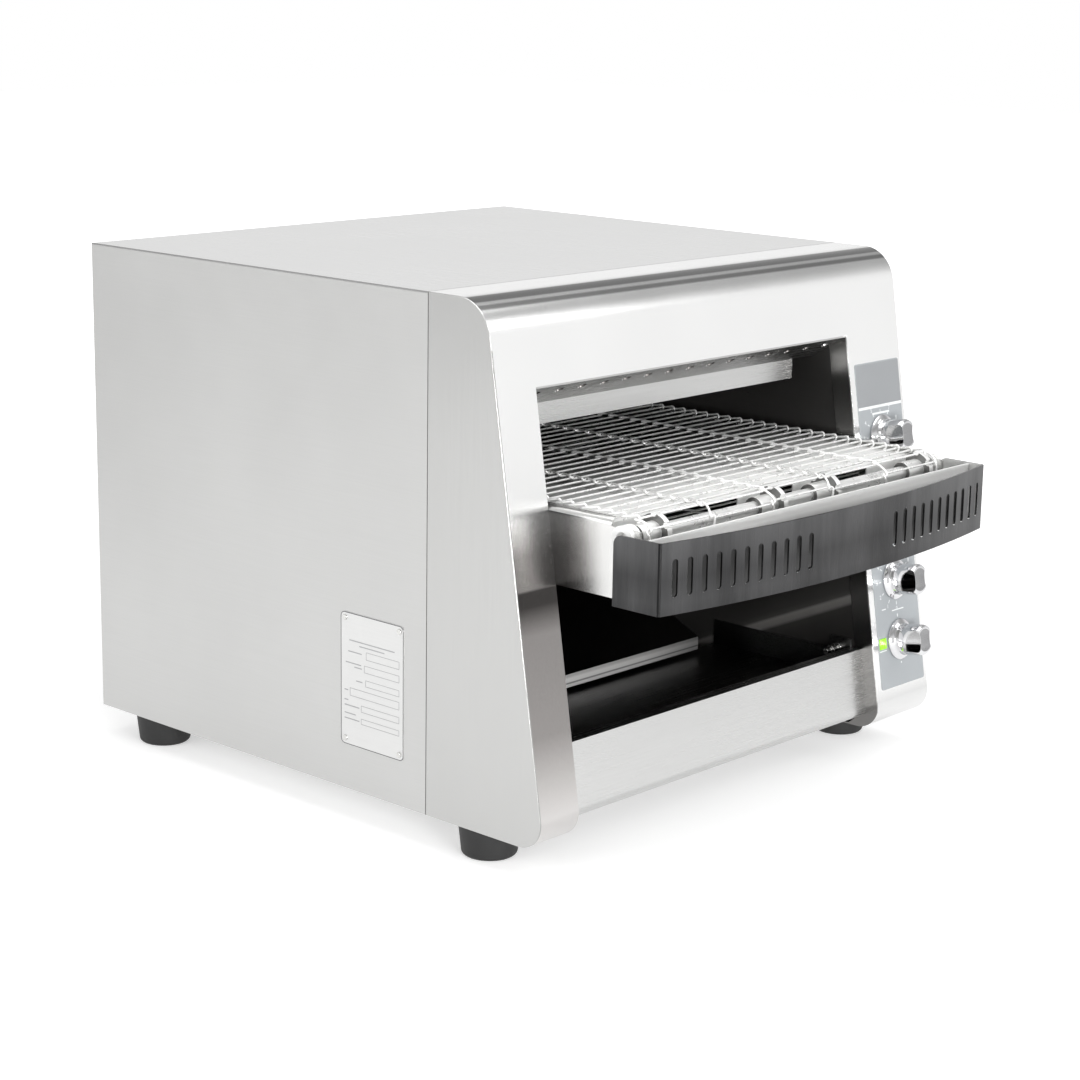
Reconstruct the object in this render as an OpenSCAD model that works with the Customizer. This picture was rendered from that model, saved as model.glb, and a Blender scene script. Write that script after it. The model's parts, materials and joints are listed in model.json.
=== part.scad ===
// Conveyor toaster: a bowed front guard, an endless wire belt that carries bread between two banks of
// heating rods, a chute that returns the toast to the tray below, and a control post at the right.
// Depths are measured forwards from the rear panel and heights upwards from the underside of the casing.

/* [Casing] */
// Overall width of the casing
body_w = 470; // [455:1:490]
// Height of the casing without its feet
body_h = 380; // [370:1:400]
// Depth of the side and top panels, from the rear to the seam with the front shroud
panel_depth = 379; // [370:1:388]
// Depth of the leaning front face where it meets the underside
toe_depth = 495; // [492:1:510]
// Backward lean of the front face
face_lean = 9.16; // [7:0.01:9.6]
// Radius of the bend between the top and the front face
crown_r = 30; // [20:1:36]
// Radius of the bend between the front face and the underside
toe_r = 20; // [12:1:26]
// Thickness of the casing sheet
sheet = 1.2; // [0.9:0.1:1.4]
// Width of the flanges that carry the feet
foot_flange_w = 46; // [46:1:60]

/* [Feet] */
// Height of a rubber foot
foot_h = 24; // [15:1:40]
// Diameter of a rubber foot
foot_d = 45; // [30:1:46]
// Distance from a side of the casing to a foot's centre
foot_inset = 24; // [23.5:0.5:30]
// Depth of the rear feet
rear_foot_depth = 50; // [30:1:80]
// Depth of the front feet
front_foot_depth = 420; // [404:1:424]

/* [Front openings] */
// Width of the left post
left_post_w = 40; // [36:1:44]
// Width of the right post, which carries the controls
right_post_w = 70; // [68:1:76]
// Height of the top edge of the feed opening
mouth_h = 317; // [312:1:326]
// Height of the lip of the lower front panel
sill_h = 65; // [60:1:80]
// Depth of the folds that run back from the posts
post_return = 18; // [12:1:19]
// Distance that the lower front panel lies behind the posts
panel_recess = 12; // [8:1:14]
// Height of the lower front panel's underside
panel_gap = 9; // [7:1:12]

/* [Wire belt] */
// Width of the wire belt
belt_w = 343; // [330:1:344]
// Distance from one strand to the next
strand_pitch = 12; // [12:1:12]
// Number of pitches between the two shafts
belt_spans = 33; // [32:1:34]
// Number of bays that the Z-bends divide the belt into
belt_bays = 5; // [5:2:5]
// Diameter of the belt wire
wire_d = 1.6; // [1.2:0.1:1.8]
// Height of the middle of the wires on the carrying run
belt_h = 236.5; // [234:0.5:238]
// Depth of the front shaft
front_shaft_depth = 528.5; // [526:0.5:530]
// Pitches that the belt takes round the front hubs
front_turn_pitches = 3; // [3:1:3]
// Teeth of a drive sprocket
sprocket_teeth = 8; // [8:1:8]

/* [Shafts] */
// Diameter of the front shaft
front_shaft_d = 10; // [8:0.5:12]
// Diameter of the drive shaft
drive_shaft_d = 12; // [10:0.5:14]
// Running clearance between a shaft and its bearing, on the radius
shaft_play = 0.05; // [0.02:0.01:0.1]
// Width of a hub on the front shaft
hub_l = 24; // [16:1:28]
// Width of the toothed disc on a hub
hub_disc_w = 5; // [4:1:8]
// Width of a drive sprocket
sprocket_w = 5; // [4:1:8]
// Gap between the wires and the hubs or sprockets
wire_gap = 0.4; // [0.3:0.1:0.6]

/* [Conveyor frame] */
// Height of the underside of the infeed
infeed_h = 181; // [181:1:184]
// Depth of the front end of the rails
infeed_depth = 556; // [550:1:560]
// Height of the infeed's front wall
infeed_wall_h = 48.5; // [27:0.5:49]
// Radius of the rolled top of the rails
rail_roll_r = 6; // [4:1:6.5]
// Height of the top of the rails
rail_top_h = 237; // [235:0.5:239]
// Thickness of the rails
rail_t = 1.5; // [1.2:0.1:1.6]
// Depth of the rear end of the support deck under the belt
deck_rear_depth = 358; // [330:1:390]
// Width of a runner under the belt
runner_w = 4; // [3:0.5:8]
// Height of a runner under the belt
runner_h = 3; // [2:0.5:3]

/* [Guard] */
// Width of the front guard
guard_w = 386; // [384:1:400]
// Height of the front guard
guard_h = 50; // [40:1:52]
// Height of the guard's lower edge
guard_base_h = 180; // [178:1:181]
// Depth of the guard's front corners
guard_depth = 570; // [566:1:580]
// Distance that the guard bows forwards at its middle
guard_bow = 19.4; // [8:0.1:26]
// Thickness of the guard
guard_t = 1.5; // [1:0.1:2]
// Depth of the rear edge of the guard's side wings
guard_wing_depth = 528; // [515:1:534]
// Number of slots in each group
slot_count = 11; // [5:1:12]
// Distance from one slot to the next
slot_pitch = 12.92; // [10:0.01:12.95]
// Distance from the middle of the guard to the nearest slots
slot_start = 50.7; // [40:0.1:52]
// Width of a slot
slot_w = 5; // [3:0.1:6]
// Height of a slot
slot_h = 26.4; // [15:0.1:32]

/* [Controls] */
// Distance from the right side of the casing to the knobs
knob_inset = 34; // [32:1:36]
// Heights of the knobs, from the top one down
knob_heights = [234, 176, 118, 69];
// Diameter of a knob's skirt
knob_skirt_d = 33.6; // [30:0.1:34]
// Diameter of a knob's grip
knob_grip_d = 25; // [20:0.5:28]
// Length of a knob from its rim to its face
knob_l = 25; // [18:1:32]
// Gap between a knob and the face behind it
knob_gap = 0.3; // [0.2:0.1:1.2]
// Diameter of a knob's spindle
spindle_d = 6; // [5:0.5:7]
// Width of the control overlay
overlay_w = 59; // [57:0.5:61]
// Height of the overlay's lower edge
overlay_base_h = 32; // [30:1:40]
// Height of the overlay's upper edge
overlay_top_h = 293; // [280:1:300]
// Thickness of the overlay
overlay_t = 0.4; // [0.2:0.1:0.6]
// Width of the indicator lens
lamp_w = 9; // [7:0.5:10]
// Height of the indicator lens
lamp_h = 8.5; // [7:0.5:12]
// Distance from the knobs' line to the middle of the indicator
lamp_offset = 23.2; // [22.6:0.1:24]

/* [Data plate] */
// Width of the plate on the left side
plate_w = 66.5; // [50:0.5:80]
// Height of the plate
plate_h = 101.5; // [80:0.5:120]
// Depth of the middle of the plate
plate_depth = 322.7; // [300:0.1:330]
// Height of the middle of the plate
plate_mid_h = 85.5; // [70:0.5:110]
// Thickness of the plate
plate_t = 0.6; // [0.4:0.1:1]

/* [Heat] */
// Diameter of a heating rod
heater_d = 7; // [6:0.5:8]
// Height of the upper heating rods
upper_heater_h = 304; // [300:1:315]
// Height of the lower heating rods
lower_heater_h = 222.5; // [221.5:0.5:223]
// Depths of the upper heating rods
upper_heater_depths = [150, 215, 280, 345];
// Depths of the lower heating rods
lower_heater_depths = [190, 250, 310];
// Height of the reflector over the upper rods
reflector_h = 340; // [330:1:350]
// Depth of the lip that keeps the heat in
lip_depth = 410; // [400:1:415]
// Height of the lower edge of that lip
lip_base_h = 281.8; // [278:0.1:286]
// Height of the upper edge of that lip
lip_top_h = 298; // [294:0.5:300]

/* [Toast return] */
// Slope of the chute
chute_slope = 25; // [22:1:28]
// Depth of the upright rear of the chute
chute_rear_depth = 52; // [50:1:60]
// Radius of the bend in the chute
chute_bend_r = 70; // [50:1:90]
// Depth of the chute's front lip
chute_lip_depth = 330; // [320:1:340]
// Height of the chute's front lip
chute_lip_h = 53; // [50:1:56]
// Height of the chute's turned-down lip
chute_lip_fall = 10; // [6:1:12]
// Distance that the chute's lip stops short of the walls
chute_lip_inset = 36; // [20:1:50]
// Height of the floor of the collecting tray
tray_floor_h = 38; // [32:1:39]
// Height of the top of the collecting tray's sides
tray_side_h = 60; // [54:1:62]
// Depth of the front of the collecting tray
tray_front_depth = 462; // [456:1:464]
// Distance from the front of the collecting tray to the thumb screws that hold it
thumb_inset = 12; // [10:1:22]
// Height of the thumb screws
thumb_h = 62; // [61:1:66]

/* [Crumb tray] */
// Height of the crumb tray's walls
crumb_wall_h = 14; // [10:1:15]
// Height of the crumb tray's underside
crumb_base_h = 164.8; // [162:0.1:165]
// Depth of the crumb tray's rear wall
crumb_rear_depth = 170; // [160:1:200]
// Distance that the crumb tray's front lies behind the folds of the posts
crumb_recess = 30; // [26:1:48]

/* [Drive] */
// Pitch of the drive chain
chain_pitch = 9.525; // [9.525:0.001:9.525]
// Teeth of the two chain wheels
chain_teeth = 12; // [12:1:12]
// Chain pitches between the two wheels
chain_spans = 12; // [11:1:13]
// Distance from the right chamber wall to the middle of the chain
chain_offset = 15; // [13:0.5:17]
// Thickness of the gearbox
gearbox_w = 34; // [28:1:36]

/* [Cooling fan] */
// Width of the fan's frame
fan_w = 92; // [80:1:92]
// Depth of the fan's frame
fan_t = 25; // [20:1:28]
// Height of the fan's axis
fan_h = 75; // [72:1:80]
// Number of blades
fan_blades = 7; // [5:1:9]

/* [Cable gland] */
// Distance that the gland stands out from the rear panel
gland_out = 10; // [6:1:16]
// Diameter of the gland's nut
gland_d = 22; // [18:1:26]
// Diameter of the gland's bore
gland_bore_d = 9; // [7:0.5:12]

/* [Hidden] */
$fn = 48;

steel = [0.80, 0.80, 0.79];
bright_steel = [0.88, 0.88, 0.87];
dark_steel = [0.30, 0.30, 0.31];
chrome = [0.90, 0.90, 0.92];
black = [0.06, 0.06, 0.06];

// Casing
half_w = body_w / 2;
inner_half_w = half_w - sheet;
lean_tan = tan(face_lean);
lean_cos = cos(face_lean);
lean_sin = sin(face_lean);
mouth_left = left_post_w - half_w;
mouth_right = half_w - right_post_w;
mouth_x = (mouth_left + mouth_right) / 2;
wall_left = mouth_left - sheet;
wall_right = mouth_right + sheet;
pan_h = sheet;
pan_top_h = pan_h + sheet;
flange_w = 14;
seam = 0.3;
foot_screw_r = 2.5;
case_screw_r = 2;
pan_front_depth = front_foot_depth + 8;
pan_lug_depth = front_foot_depth + 32;
frame_rear_depth = panel_depth - 13;
frame_front_depth = panel_depth + 13;

// Guard
guard_r = (pow(guard_w / 2, 2) + pow(guard_bow, 2)) / (2 * guard_bow);
guard_apex_depth = guard_depth + guard_bow;
total_depth = guard_apex_depth + gland_out;

// The data plate's rivets stand proud of the left side
rivet_head_h = 0.8;
side_proud = plate_t + rivet_head_h;

// What lies flat on the leaning face, or behind it, clears it by a hair
face_fit = 0.02;

// Belt and shafts
wire_r = wire_d / 2;
// The belt's wires are four-sided, and as thick from corner to corner as makes up for their flats
wire_ring_r = wire_r * 1.15;
wire_lift = wire_d + 0.6;
front_turn_r = strand_pitch / (2 * sin(90 / front_turn_pitches));
rear_turn_pitches = sprocket_teeth / 2;
rear_turn_r = strand_pitch / (2 * sin(90 / rear_turn_pitches));
front_shaft_h = belt_h - front_turn_r;
drive_shaft_h = belt_h - rear_turn_r;
drive_shaft_depth = front_shaft_depth - belt_spans * strand_pitch;
bay_w = belt_w / belt_bays;
hub_r = front_shaft_d / 2 + 3;
runner_top_h = belt_h - wire_r - wire_gap;
deck_top_h = runner_top_h - runner_h;
deck_front_depth = front_shaft_depth - front_turn_r - 5;

// Trays
crumb_front_depth = toe_depth - (crumb_base_h + crumb_wall_h) * lean_tan - post_return - crumb_recess;
thumb_depth = tray_front_depth - thumb_inset;

// Conveyor rails
rail_inner_left = mouth_left + rail_t;
rail_inner_right = mouth_right - rail_t;
deck_left = rail_inner_left + 0.25;
deck_right = rail_inner_right - 0.25;
rail_rear_depth = drive_shaft_depth - 20;
rail_base_h = infeed_h + 22;
infeed_rear_depth = toe_depth - 65;

// Drive
chain_r = chain_pitch / (2 * sin(180 / chain_teeth));
chain_x = wall_right + sheet + chain_offset;
motor_shaft_h = drive_shaft_h - chain_spans * chain_pitch;
bracket_x = chain_x + 9;
motor_shaft_d = 10;

function face_depth(h) = toe_depth - h * lean_tan;
function unit(v) = v / norm(v);
function left_of(v) = [-v[1], v[0]];

// A corner of the inner side of a bent sheet, where the two neighbouring runs meet
function mitre(points, i, t) =
    let (
        last = len(points) - 1,
        before = i > 0 ? unit(points[i] - points[i - 1]) : unit(points[1] - points[0]),
        after = i < last ? unit(points[i + 1] - points[i]) : before,
        bisector = unit(left_of(before) + left_of(after))
    )
    points[i] + bisector * t / (bisector * left_of(before));

// The outline of a sheet of thickness t that is bent along the given points
function bent_sheet(points, t) =
    concat(points, [for (i = [len(points) - 1:-1:0]) mitre(points, i, t)]);

function arc(centre, r, from, to, steps) =
    [for (i = [0:steps]) let (a = from + (to - from) * i / steps) centre + r * [cos(a), sin(a)]];

// Sets the whole object over its origin, with its feet on the ground
module placed() {
    translate([side_proud / 2, total_depth / 2 - gland_out, foot_h]) children();
}

// Extrudes a profile, drawn as depth across and height up, from x0 to x1
module side_profile(x0, x1) {
    translate([x1, 0, 0]) rotate([90, 0, -90]) linear_extrude(x1 - x0) children();
}

// Places its children on the leaning face: x across, y up the face, z out of it
module on_face(x, h) {
    translate([x, -face_depth(h), h]) rotate([90 - face_lean, 0, 0]) children();
}

// Places its children on the rear panel: z out of it
module on_rear(x, h) {
    translate([x, 0, h]) rotate([-90, 0, 0]) children();
}

// A block between two corners, each given as x, depth, height
module block(low, high) {
    translate([low[0], -high[1], low[2]])
        cube([high[0] - low[0], high[1] - low[1], high[2] - low[2]]);
}

// A round rod along the x axis
module rod_x(x0, x1, depth, h, r) {
    translate([x0, -depth, h]) rotate([0, 90, 0]) cylinder(h = x1 - x0, r = r);
}

// Mirrors its children about the middle of the feed opening and keeps both
module both_sides() {
    children();
    translate([mouth_x, 0, 0]) mirror([1, 0, 0]) translate([-mouth_x, 0, 0]) children();
}

module other_side() {
    translate([mouth_x, 0, 0]) mirror([1, 0, 0]) translate([-mouth_x, 0, 0]) children();
}

module rounded_rect(w, h, r) {
    union() {
        square([w - 2 * r, h], center = true);
        square([w, h - 2 * r], center = true);
        for (x = [-1, 1], y = [-1, 1]) translate([x * (w / 2 - r), y * (h / 2 - r)]) circle(r);
    }
}

module obround(w, h) {
    union() {
        square([w, h - w], center = true);
        for (y = [-1, 1]) translate([0, y * (h - w) / 2]) circle(w / 2);
    }
}

// ---- Casing ----

// Side outline of the shroud, drawn in from the outside by inset
module shroud_outline(inset, base = 0, rear = panel_depth) {
    face_in = inset / lean_cos;
    rc = crown_r - inset;
    rt = toe_r - inset;
    crown_h = body_h - crown_r;
    toe_h = base + toe_r;
    crown = [toe_depth - face_in - crown_h * lean_tan - rc / lean_cos, crown_h];
    toe = [toe_depth - face_in - toe_h * lean_tan - rt / lean_cos, toe_h];
    out = [lean_cos, lean_sin];
    union() {
        polygon([
            [rear, base + inset], [toe[0], base + inset], toe + rt * out,
            crown + rc * out, [crown[0], body_h - inset], [rear, body_h - inset]
        ]);
        intersection() {
            translate(crown) circle(rc);
            translate([rear, 0]) square([toe_depth, body_h]);
        }
        translate(toe) circle(rt);
    }
}

module front_shroud() {
    color(bright_steel) placed() difference() {
        union() {
            difference() {
                side_profile(-half_w, half_w) shroud_outline(0);
                side_profile(-inner_half_w, inner_half_w) shroud_outline(sheet, 0, panel_depth - 1);
                block([mouth_left, panel_depth + 20, -1], [mouth_right, toe_depth + 20, mouth_h]);
            }
            both_sides() side_profile(wall_left, mouth_left) intersection() {
                difference() {
                    shroud_outline(0);
                    translate([-post_return, 0]) shroud_outline(0, -1, 0);
                }
                translate([panel_depth, 0]) square([toe_depth, mouth_h]);
            }
        }
        for (h = knob_heights) on_face(half_w - knob_inset, h)
            translate([0, 0, -5]) cylinder(h = 10, r = spindle_d / 2 + 0.5);
        on_face(half_w - knob_inset - lamp_offset, knob_heights[3])
            cube([lamp_w + 0.2, lamp_h + 0.2, 10], center = true);
        foot_places() cylinder(h = 10, r = foot_screw_r + 0.1, center = true);
    }
}

module lower_front_panel() {
    color(bright_steel) placed() side_profile(mouth_left, mouth_right) union() {
        intersection() {
            difference() {
                shroud_outline(panel_recess, panel_gap - panel_recess, pan_front_depth - 8);
                shroud_outline(panel_recess + sheet, panel_gap - panel_recess, pan_front_depth - 9);
            }
            translate([pan_front_depth - 8, 0]) square([toe_depth, sill_h]);
        }
        translate([face_depth(sill_h) - (panel_recess + 10) / lean_cos, sill_h - sheet])
            square([10 / lean_cos, sheet]);
    }
}

// The ring inside the seam, which the panels and the shroud are fixed to
module front_frame() {
    color(steel) placed() difference() {
        block([-inner_half_w, frame_rear_depth, pan_top_h],
              [inner_half_w, frame_front_depth, body_h - sheet]);
        block([sheet - inner_half_w, frame_rear_depth - 1, 0],
              [inner_half_w - sheet, frame_front_depth + 1, body_h - 2 * sheet]);
    }
}

module side_panel() {
    difference() {
        union() {
            block([-half_w, 0, 0], [-inner_half_w, panel_depth - seam, body_h - sheet]);
            block([-half_w, 2 * sheet, 0], [foot_flange_w - half_w, panel_depth - seam, sheet]);
            block([-half_w, sheet, 0], [flange_w - half_w, 2 * sheet, body_h - sheet]);
        }
        foot_places() cylinder(h = 10, r = foot_screw_r + 0.1, center = true);
        screw_places() cylinder(h = 10, r = case_screw_r + 0.1, center = true);
    }
}

module plate_rivet_places() {
    for (y = [-1, 1], z = [-1, 1])
        translate([0, y * (plate_w / 2 - 4.5) - plate_depth, z * (plate_h / 2 - 4.5) + plate_mid_h])
            children();
}

module plate_rivet_holes() {
    plate_rivet_places() translate([-half_w - 2, 0, 0]) rotate([0, 90, 0]) cylinder(h = 4, r = 1.25);
}

module left_side_panel() {
    color(steel) placed() difference() {
        side_panel();
        plate_rivet_holes();
    }
}

module right_side_panel() {
    color(steel) placed() mirror([1, 0, 0]) side_panel();
}

module top_panel() {
    color(bright_steel) placed()
        block([-half_w, 0, body_h - sheet], [half_w, panel_depth - seam, body_h]);
}

module base_pan() {
    vent_w = 6;
    vent_l = 80;
    vent_pitch = 24;
    vent_rear_depth = 70;
    color(steel) placed() difference() {
        union() {
            block([-inner_half_w, 2 * sheet, pan_h], [inner_half_w, pan_front_depth, pan_top_h]);
            block([-inner_half_w, 2 * sheet, pan_h], [wall_left - sheet, pan_lug_depth, pan_top_h]);
            block([wall_right + sheet, 2 * sheet, pan_h], [inner_half_w, pan_lug_depth, pan_top_h]);
            block([mouth_left, pan_front_depth - sheet, pan_h],
                  [mouth_right, pan_front_depth, panel_gap]);
        }
        for (i = [-3:3]) block([mouth_x + i * vent_pitch - vent_w / 2, vent_rear_depth, 0],
                               [mouth_x + i * vent_pitch + vent_w / 2, vent_rear_depth + vent_l, 5]);
        foot_places() cylinder(h = 10, r = foot_screw_r + 0.1, center = true);
    }
}

module rear_panel() {
    louvres = 8;
    louvre_pitch = 9;
    color(steel) placed() difference() {
        block([-inner_half_w, 0, sheet], [inner_half_w, sheet, body_h - sheet]);
        on_rear(mouth_x, fan_h) fan_grille();
        for (x = [-130, 130], i = [0:louvres - 1])
            on_rear(x, reflector_h - 50 + i * louvre_pitch) rotate(90)
                linear_extrude(10, center = true) obround(4, 90);
        gland_place() cylinder(h = 10, r = gland_barrel_r + 0.1, center = true);
        screw_places() cylinder(h = 10, r = case_screw_r + 0.1, center = true);
    }
}

// Three rings of slots in front of the fan, left standing on four spokes
module fan_grille() {
    linear_extrude(10, center = true) difference() {
        for (r = [14, 24, 34]) difference() {
            circle(r + 6);
            circle(r);
        }
        for (a = [45, 135]) rotate(a) square([fan_w, 5], center = true);
    }
}

module gland_place() {
    on_rear(half_w - 32, 40) children();
}

module screw_places() {
    for (x = [-1, 1], h = [20, body_h / 3, body_h * 2 / 3, body_h - 15])
        on_rear(x * (half_w - flange_w / 2 - sheet), h) children();
}

module case_screws() {
    color(chrome) placed() screw_places() union() {
        difference() {
            cylinder(h = 1.6, r = 4);
            translate([0, 0, 0.9]) union() {
                cube([5, 1, 2], center = true);
                cube([1, 5, 2], center = true);
            }
        }
        translate([0, 0, -8]) cylinder(h = 8.5, r = case_screw_r);
    }
}

gland_barrel_r = gland_bore_d / 2 + 3;

module cable_gland() {
    nut_h = 5;
    color(black) placed() gland_place() difference() {
        union() {
            cylinder(h = gland_out, r = gland_d / 2 - 2);
            cylinder(h = nut_h, r = gland_d / 2, $fn = 6);
            translate([0, 0, -14]) cylinder(h = 15, r = gland_barrel_r);
            translate([0, 0, -sheet - nut_h]) cylinder(h = nut_h, r = gland_d / 2, $fn = 6);
        }
        translate([0, 0, -15]) cylinder(h = gland_out + 20, r = gland_bore_d / 2);
    }
}

module foot_places() {
    for (x = [-1, 1], depth = [rear_foot_depth, front_foot_depth])
        translate([x * (half_w - foot_inset), -depth, 0]) children();
}

foot_web_h = 6;

module feet() {
    color(black) placed() foot_places() difference() {
        translate([0, 0, -foot_h]) rotate_extrude() polygon([
            [0, 0], [foot_d / 2 - 4, 0], [foot_d / 2 - 2, 2], [foot_d / 2, foot_h - 4],
            [foot_d / 2, foot_h], [0, foot_h]
        ]);
        translate([0, 0, -foot_h - 1]) cylinder(h = foot_h + 1 - foot_web_h, r = 7);
        translate([0, 0, -foot_h - 1]) cylinder(h = foot_h + 2, r = foot_screw_r + 0.1);
    }
}

module foot_screws() {
    color(chrome) placed() foot_places() union() {
        translate([0, 0, -foot_web_h - 4]) cylinder(h = 4, r = 4.6);
        translate([0, 0, -foot_web_h - 1]) cylinder(h = foot_web_h + pan_top_h + 6, r = foot_screw_r);
        translate([0, 0, pan_top_h]) cylinder(h = 4, r = 4.6, $fn = 6);
    }
}

// ---- Chamber ----

heater_hole_r = heater_d / 2 + 0.2;
bearing_r = 9;
thumb_shank_r = 2.4;

// Wall of the toasting chamber, which follows the leaning face
module inner_wall() {
    difference() {
        side_profile(wall_left - sheet, wall_left) intersection() {
            shroud_outline(sheet + 2, 0, 16);
            translate([16, pan_top_h]) square([toe_depth, reflector_h + 22 - pan_top_h]);
        }
        rod_x(-half_w, half_w, drive_shaft_depth, drive_shaft_h, bearing_r + 0.02);
        for (d = upper_heater_depths) rod_x(-half_w, half_w, d, upper_heater_h, heater_hole_r);
        for (d = lower_heater_depths) rod_x(-half_w, half_w, d, lower_heater_h, heater_hole_r);
        rod_x(-half_w, half_w, thumb_depth, thumb_h, thumb_shank_r + 0.1);
    }
}

module left_inner_wall() {
    color(dark_steel) placed() inner_wall();
}

module right_inner_wall() {
    color(dark_steel) placed() other_side() inner_wall();
}

module rear_heat_shield() {
    color(dark_steel) placed() difference() {
        block([wall_left, chute_rear_depth - 12, fan_h + fan_w / 2 + 8],
              [wall_right, chute_rear_depth - 12 + sheet, reflector_h]);
        for (i = [-3:3]) block([mouth_x + i * 40 - 12, 0, reflector_h - 25],
                               [mouth_x + i * 40 + 12, chute_rear_depth, reflector_h - 20]);
    }
}

module roof_reflector() {
    rear = chute_rear_depth - 12;
    color(steel) placed() union() {
        block([wall_left, rear, reflector_h], [wall_right, lip_depth, reflector_h + sheet]);
        block([wall_left, lip_depth, lip_top_h + 1], [wall_right, lip_depth + sheet, reflector_h + sheet]);
    }
}

// The folded strip behind the header, with its row of air holes and its hanging lip
module heat_deflector() {
    header_inner = face_depth(mouth_h) - sheet / lean_cos;
    fold = [header_inner - sheet / lean_cos, mouth_h - 1];
    tab = [fold[0] - 24 * lean_tan, fold[1] + 24];
    lip_half = (mouth_right - mouth_left) / 2 - 26;
    color(bright_steel) placed() difference() {
        union() {
            side_profile(mouth_left, mouth_right)
                polygon(bent_sheet([[lip_depth, lip_top_h], fold, tab], -sheet));
            side_profile(mouth_x - lip_half, mouth_x + lip_half)
                polygon([
                    [lip_depth, lip_base_h], [lip_depth + sheet, lip_base_h],
                    [lip_depth + sheet, lip_top_h], [lip_depth, lip_top_h]
                ]);
        }
        for (i = [-7:7]) translate([mouth_x + i * 24, -(fold[0] - 9), mouth_h])
            translate([0, 0, -20]) cylinder(h = 30, r = 3.5);
    }
}

module heater_bank(depths, h) {
    for (d = depths) {
        rod_x(wall_left - 6, wall_right + 6, d, h, heater_d / 2);
        both_sides() rod_x(wall_left - 15, wall_left - 5.9, d, h, 1.6);
    }
}

module upper_heaters() {
    color(dark_steel) placed() heater_bank(upper_heater_depths, upper_heater_h);
}

module lower_heaters() {
    color(dark_steel) placed() heater_bank(lower_heater_depths, lower_heater_h);
}

// ---- Conveyor frame ----

// Upright rail whose top is rolled inwards to guard the belt's edge, with a lower nose in front
module rail() {
    roll_h = rail_top_h - rail_roll_r;
    roll_end = front_shaft_depth - front_turn_r - 1;
    nose_depth = front_shaft_depth + 13;
    difference() {
        union() {
            side_profile(mouth_left, rail_inner_left) polygon([
                [rail_rear_depth, roll_h], [rail_rear_depth, rail_base_h],
                [infeed_rear_depth, rail_base_h], [infeed_rear_depth, infeed_h],
                [infeed_depth, infeed_h], [infeed_depth, infeed_h + 32],
                [nose_depth, infeed_h + 36], [nose_depth, roll_h], [rail_rear_depth, roll_h]
            ]);
            translate([mouth_left + rail_roll_r, -rail_rear_depth, roll_h]) rotate([90, 0, 0])
                linear_extrude(roll_end - rail_rear_depth) intersection() {
                    difference() {
                        circle(rail_roll_r);
                        circle(rail_roll_r - rail_t);
                    }
                    translate([-rail_roll_r, 0]) square(rail_roll_r);
                }
        }
        rod_x(-half_w, half_w, drive_shaft_depth, drive_shaft_h, bearing_r + 1.5);
        rod_x(-half_w, half_w, front_shaft_depth, front_shaft_h, front_bearing_r + 0.02);
        for (d = lower_heater_depths) rod_x(-half_w, half_w, d, lower_heater_h, heater_hole_r);
    }
}

module left_conveyor_rail() {
    color(bright_steel) placed() rail();
}

module right_conveyor_rail() {
    color(bright_steel) placed() other_side() rail();
}

// Floor between the rails, with a tall front wall that stands before them and fills the guard's width
module infeed_pan() {
    front = infeed_depth + sheet;
    rear_wall_h = 10;
    wall_half_w = guard_w / 2 - guard_t - 0.5;
    color(bright_steel) placed() union() {
        side_profile(rail_inner_left, rail_inner_right) polygon(bent_sheet([
            [infeed_rear_depth, infeed_h + rear_wall_h], [infeed_rear_depth, infeed_h],
            [front, infeed_h], [front, infeed_h + infeed_wall_h]
        ], sheet));
        block([mouth_x - wall_half_w, infeed_depth, infeed_h],
              [mouth_x + wall_half_w, front, infeed_h + infeed_wall_h]);
    }
}

// Deck under the carrying run. Its front edge is folded down, with a tab behind each hub.
module belt_deck() {
    fold_h = 2.4;
    tab_h = 12;
    tab_w = 36;
    side_tab_w = 58;
    front = deck_front_depth;
    color(bright_steel) placed() union() {
        block([deck_left, deck_rear_depth, deck_top_h - sheet], [deck_right, front, deck_top_h]);
        block([deck_left, front - sheet, deck_top_h - fold_h], [deck_right, front, deck_top_h]);
        for (i = [1, 2]) deck_tab(mouth_x + hub_ends[i] - hub_disc_w / 2 - tab_w / 2, tab_w, tab_h);
        both_sides() deck_tab(deck_left, side_tab_w, tab_h);
        both_sides() block([deck_left, deck_rear_depth, deck_top_h - tab_h],
                           [deck_left + sheet, front - sheet, deck_top_h - sheet]);
    }
}

// A tab that hangs from the deck's front edge, with its lower corners cut off
module deck_tab(x, w, h) {
    cut = 3;
    translate([x, -deck_front_depth + sheet, deck_top_h]) rotate([90, 0, 0]) linear_extrude(sheet)
        polygon([[0, 0], [0, cut - h], [cut, -h], [w - cut, -h], [w, cut - h], [w, 0]]);
}

module belt_runners() {
    rear = drive_shaft_depth + rear_turn_r + 6;
    color(steel) placed() union() {
        for (i = [1:belt_bays - 1]) {
            x = mouth_x + i * bay_w - belt_w / 2;
            block([x - runner_w / 2, rear, deck_top_h],
                  [x + runner_w / 2, deck_front_depth - 4, runner_top_h]);
        }
        for (d = [rear + 8, deck_rear_depth - 14])
            block([deck_left, d, deck_top_h - runner_h], [deck_right, d + 10, deck_top_h]);
    }
}

// ---- Wire belt ----
// A strand is one wire across the whole belt. In every other bay it lies one step ahead of its own
// place. At each step it runs forwards over the next strand and back down in a Z, and at both edges it
// hooks round the next strand, so that the strands hold each other and the belt can still bend.

belt_strands = 2 * belt_spans + front_turn_pitches + rear_turn_pitches;
return_start = belt_spans + front_turn_pitches;
rear_turn_start = return_start + belt_spans;

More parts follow.
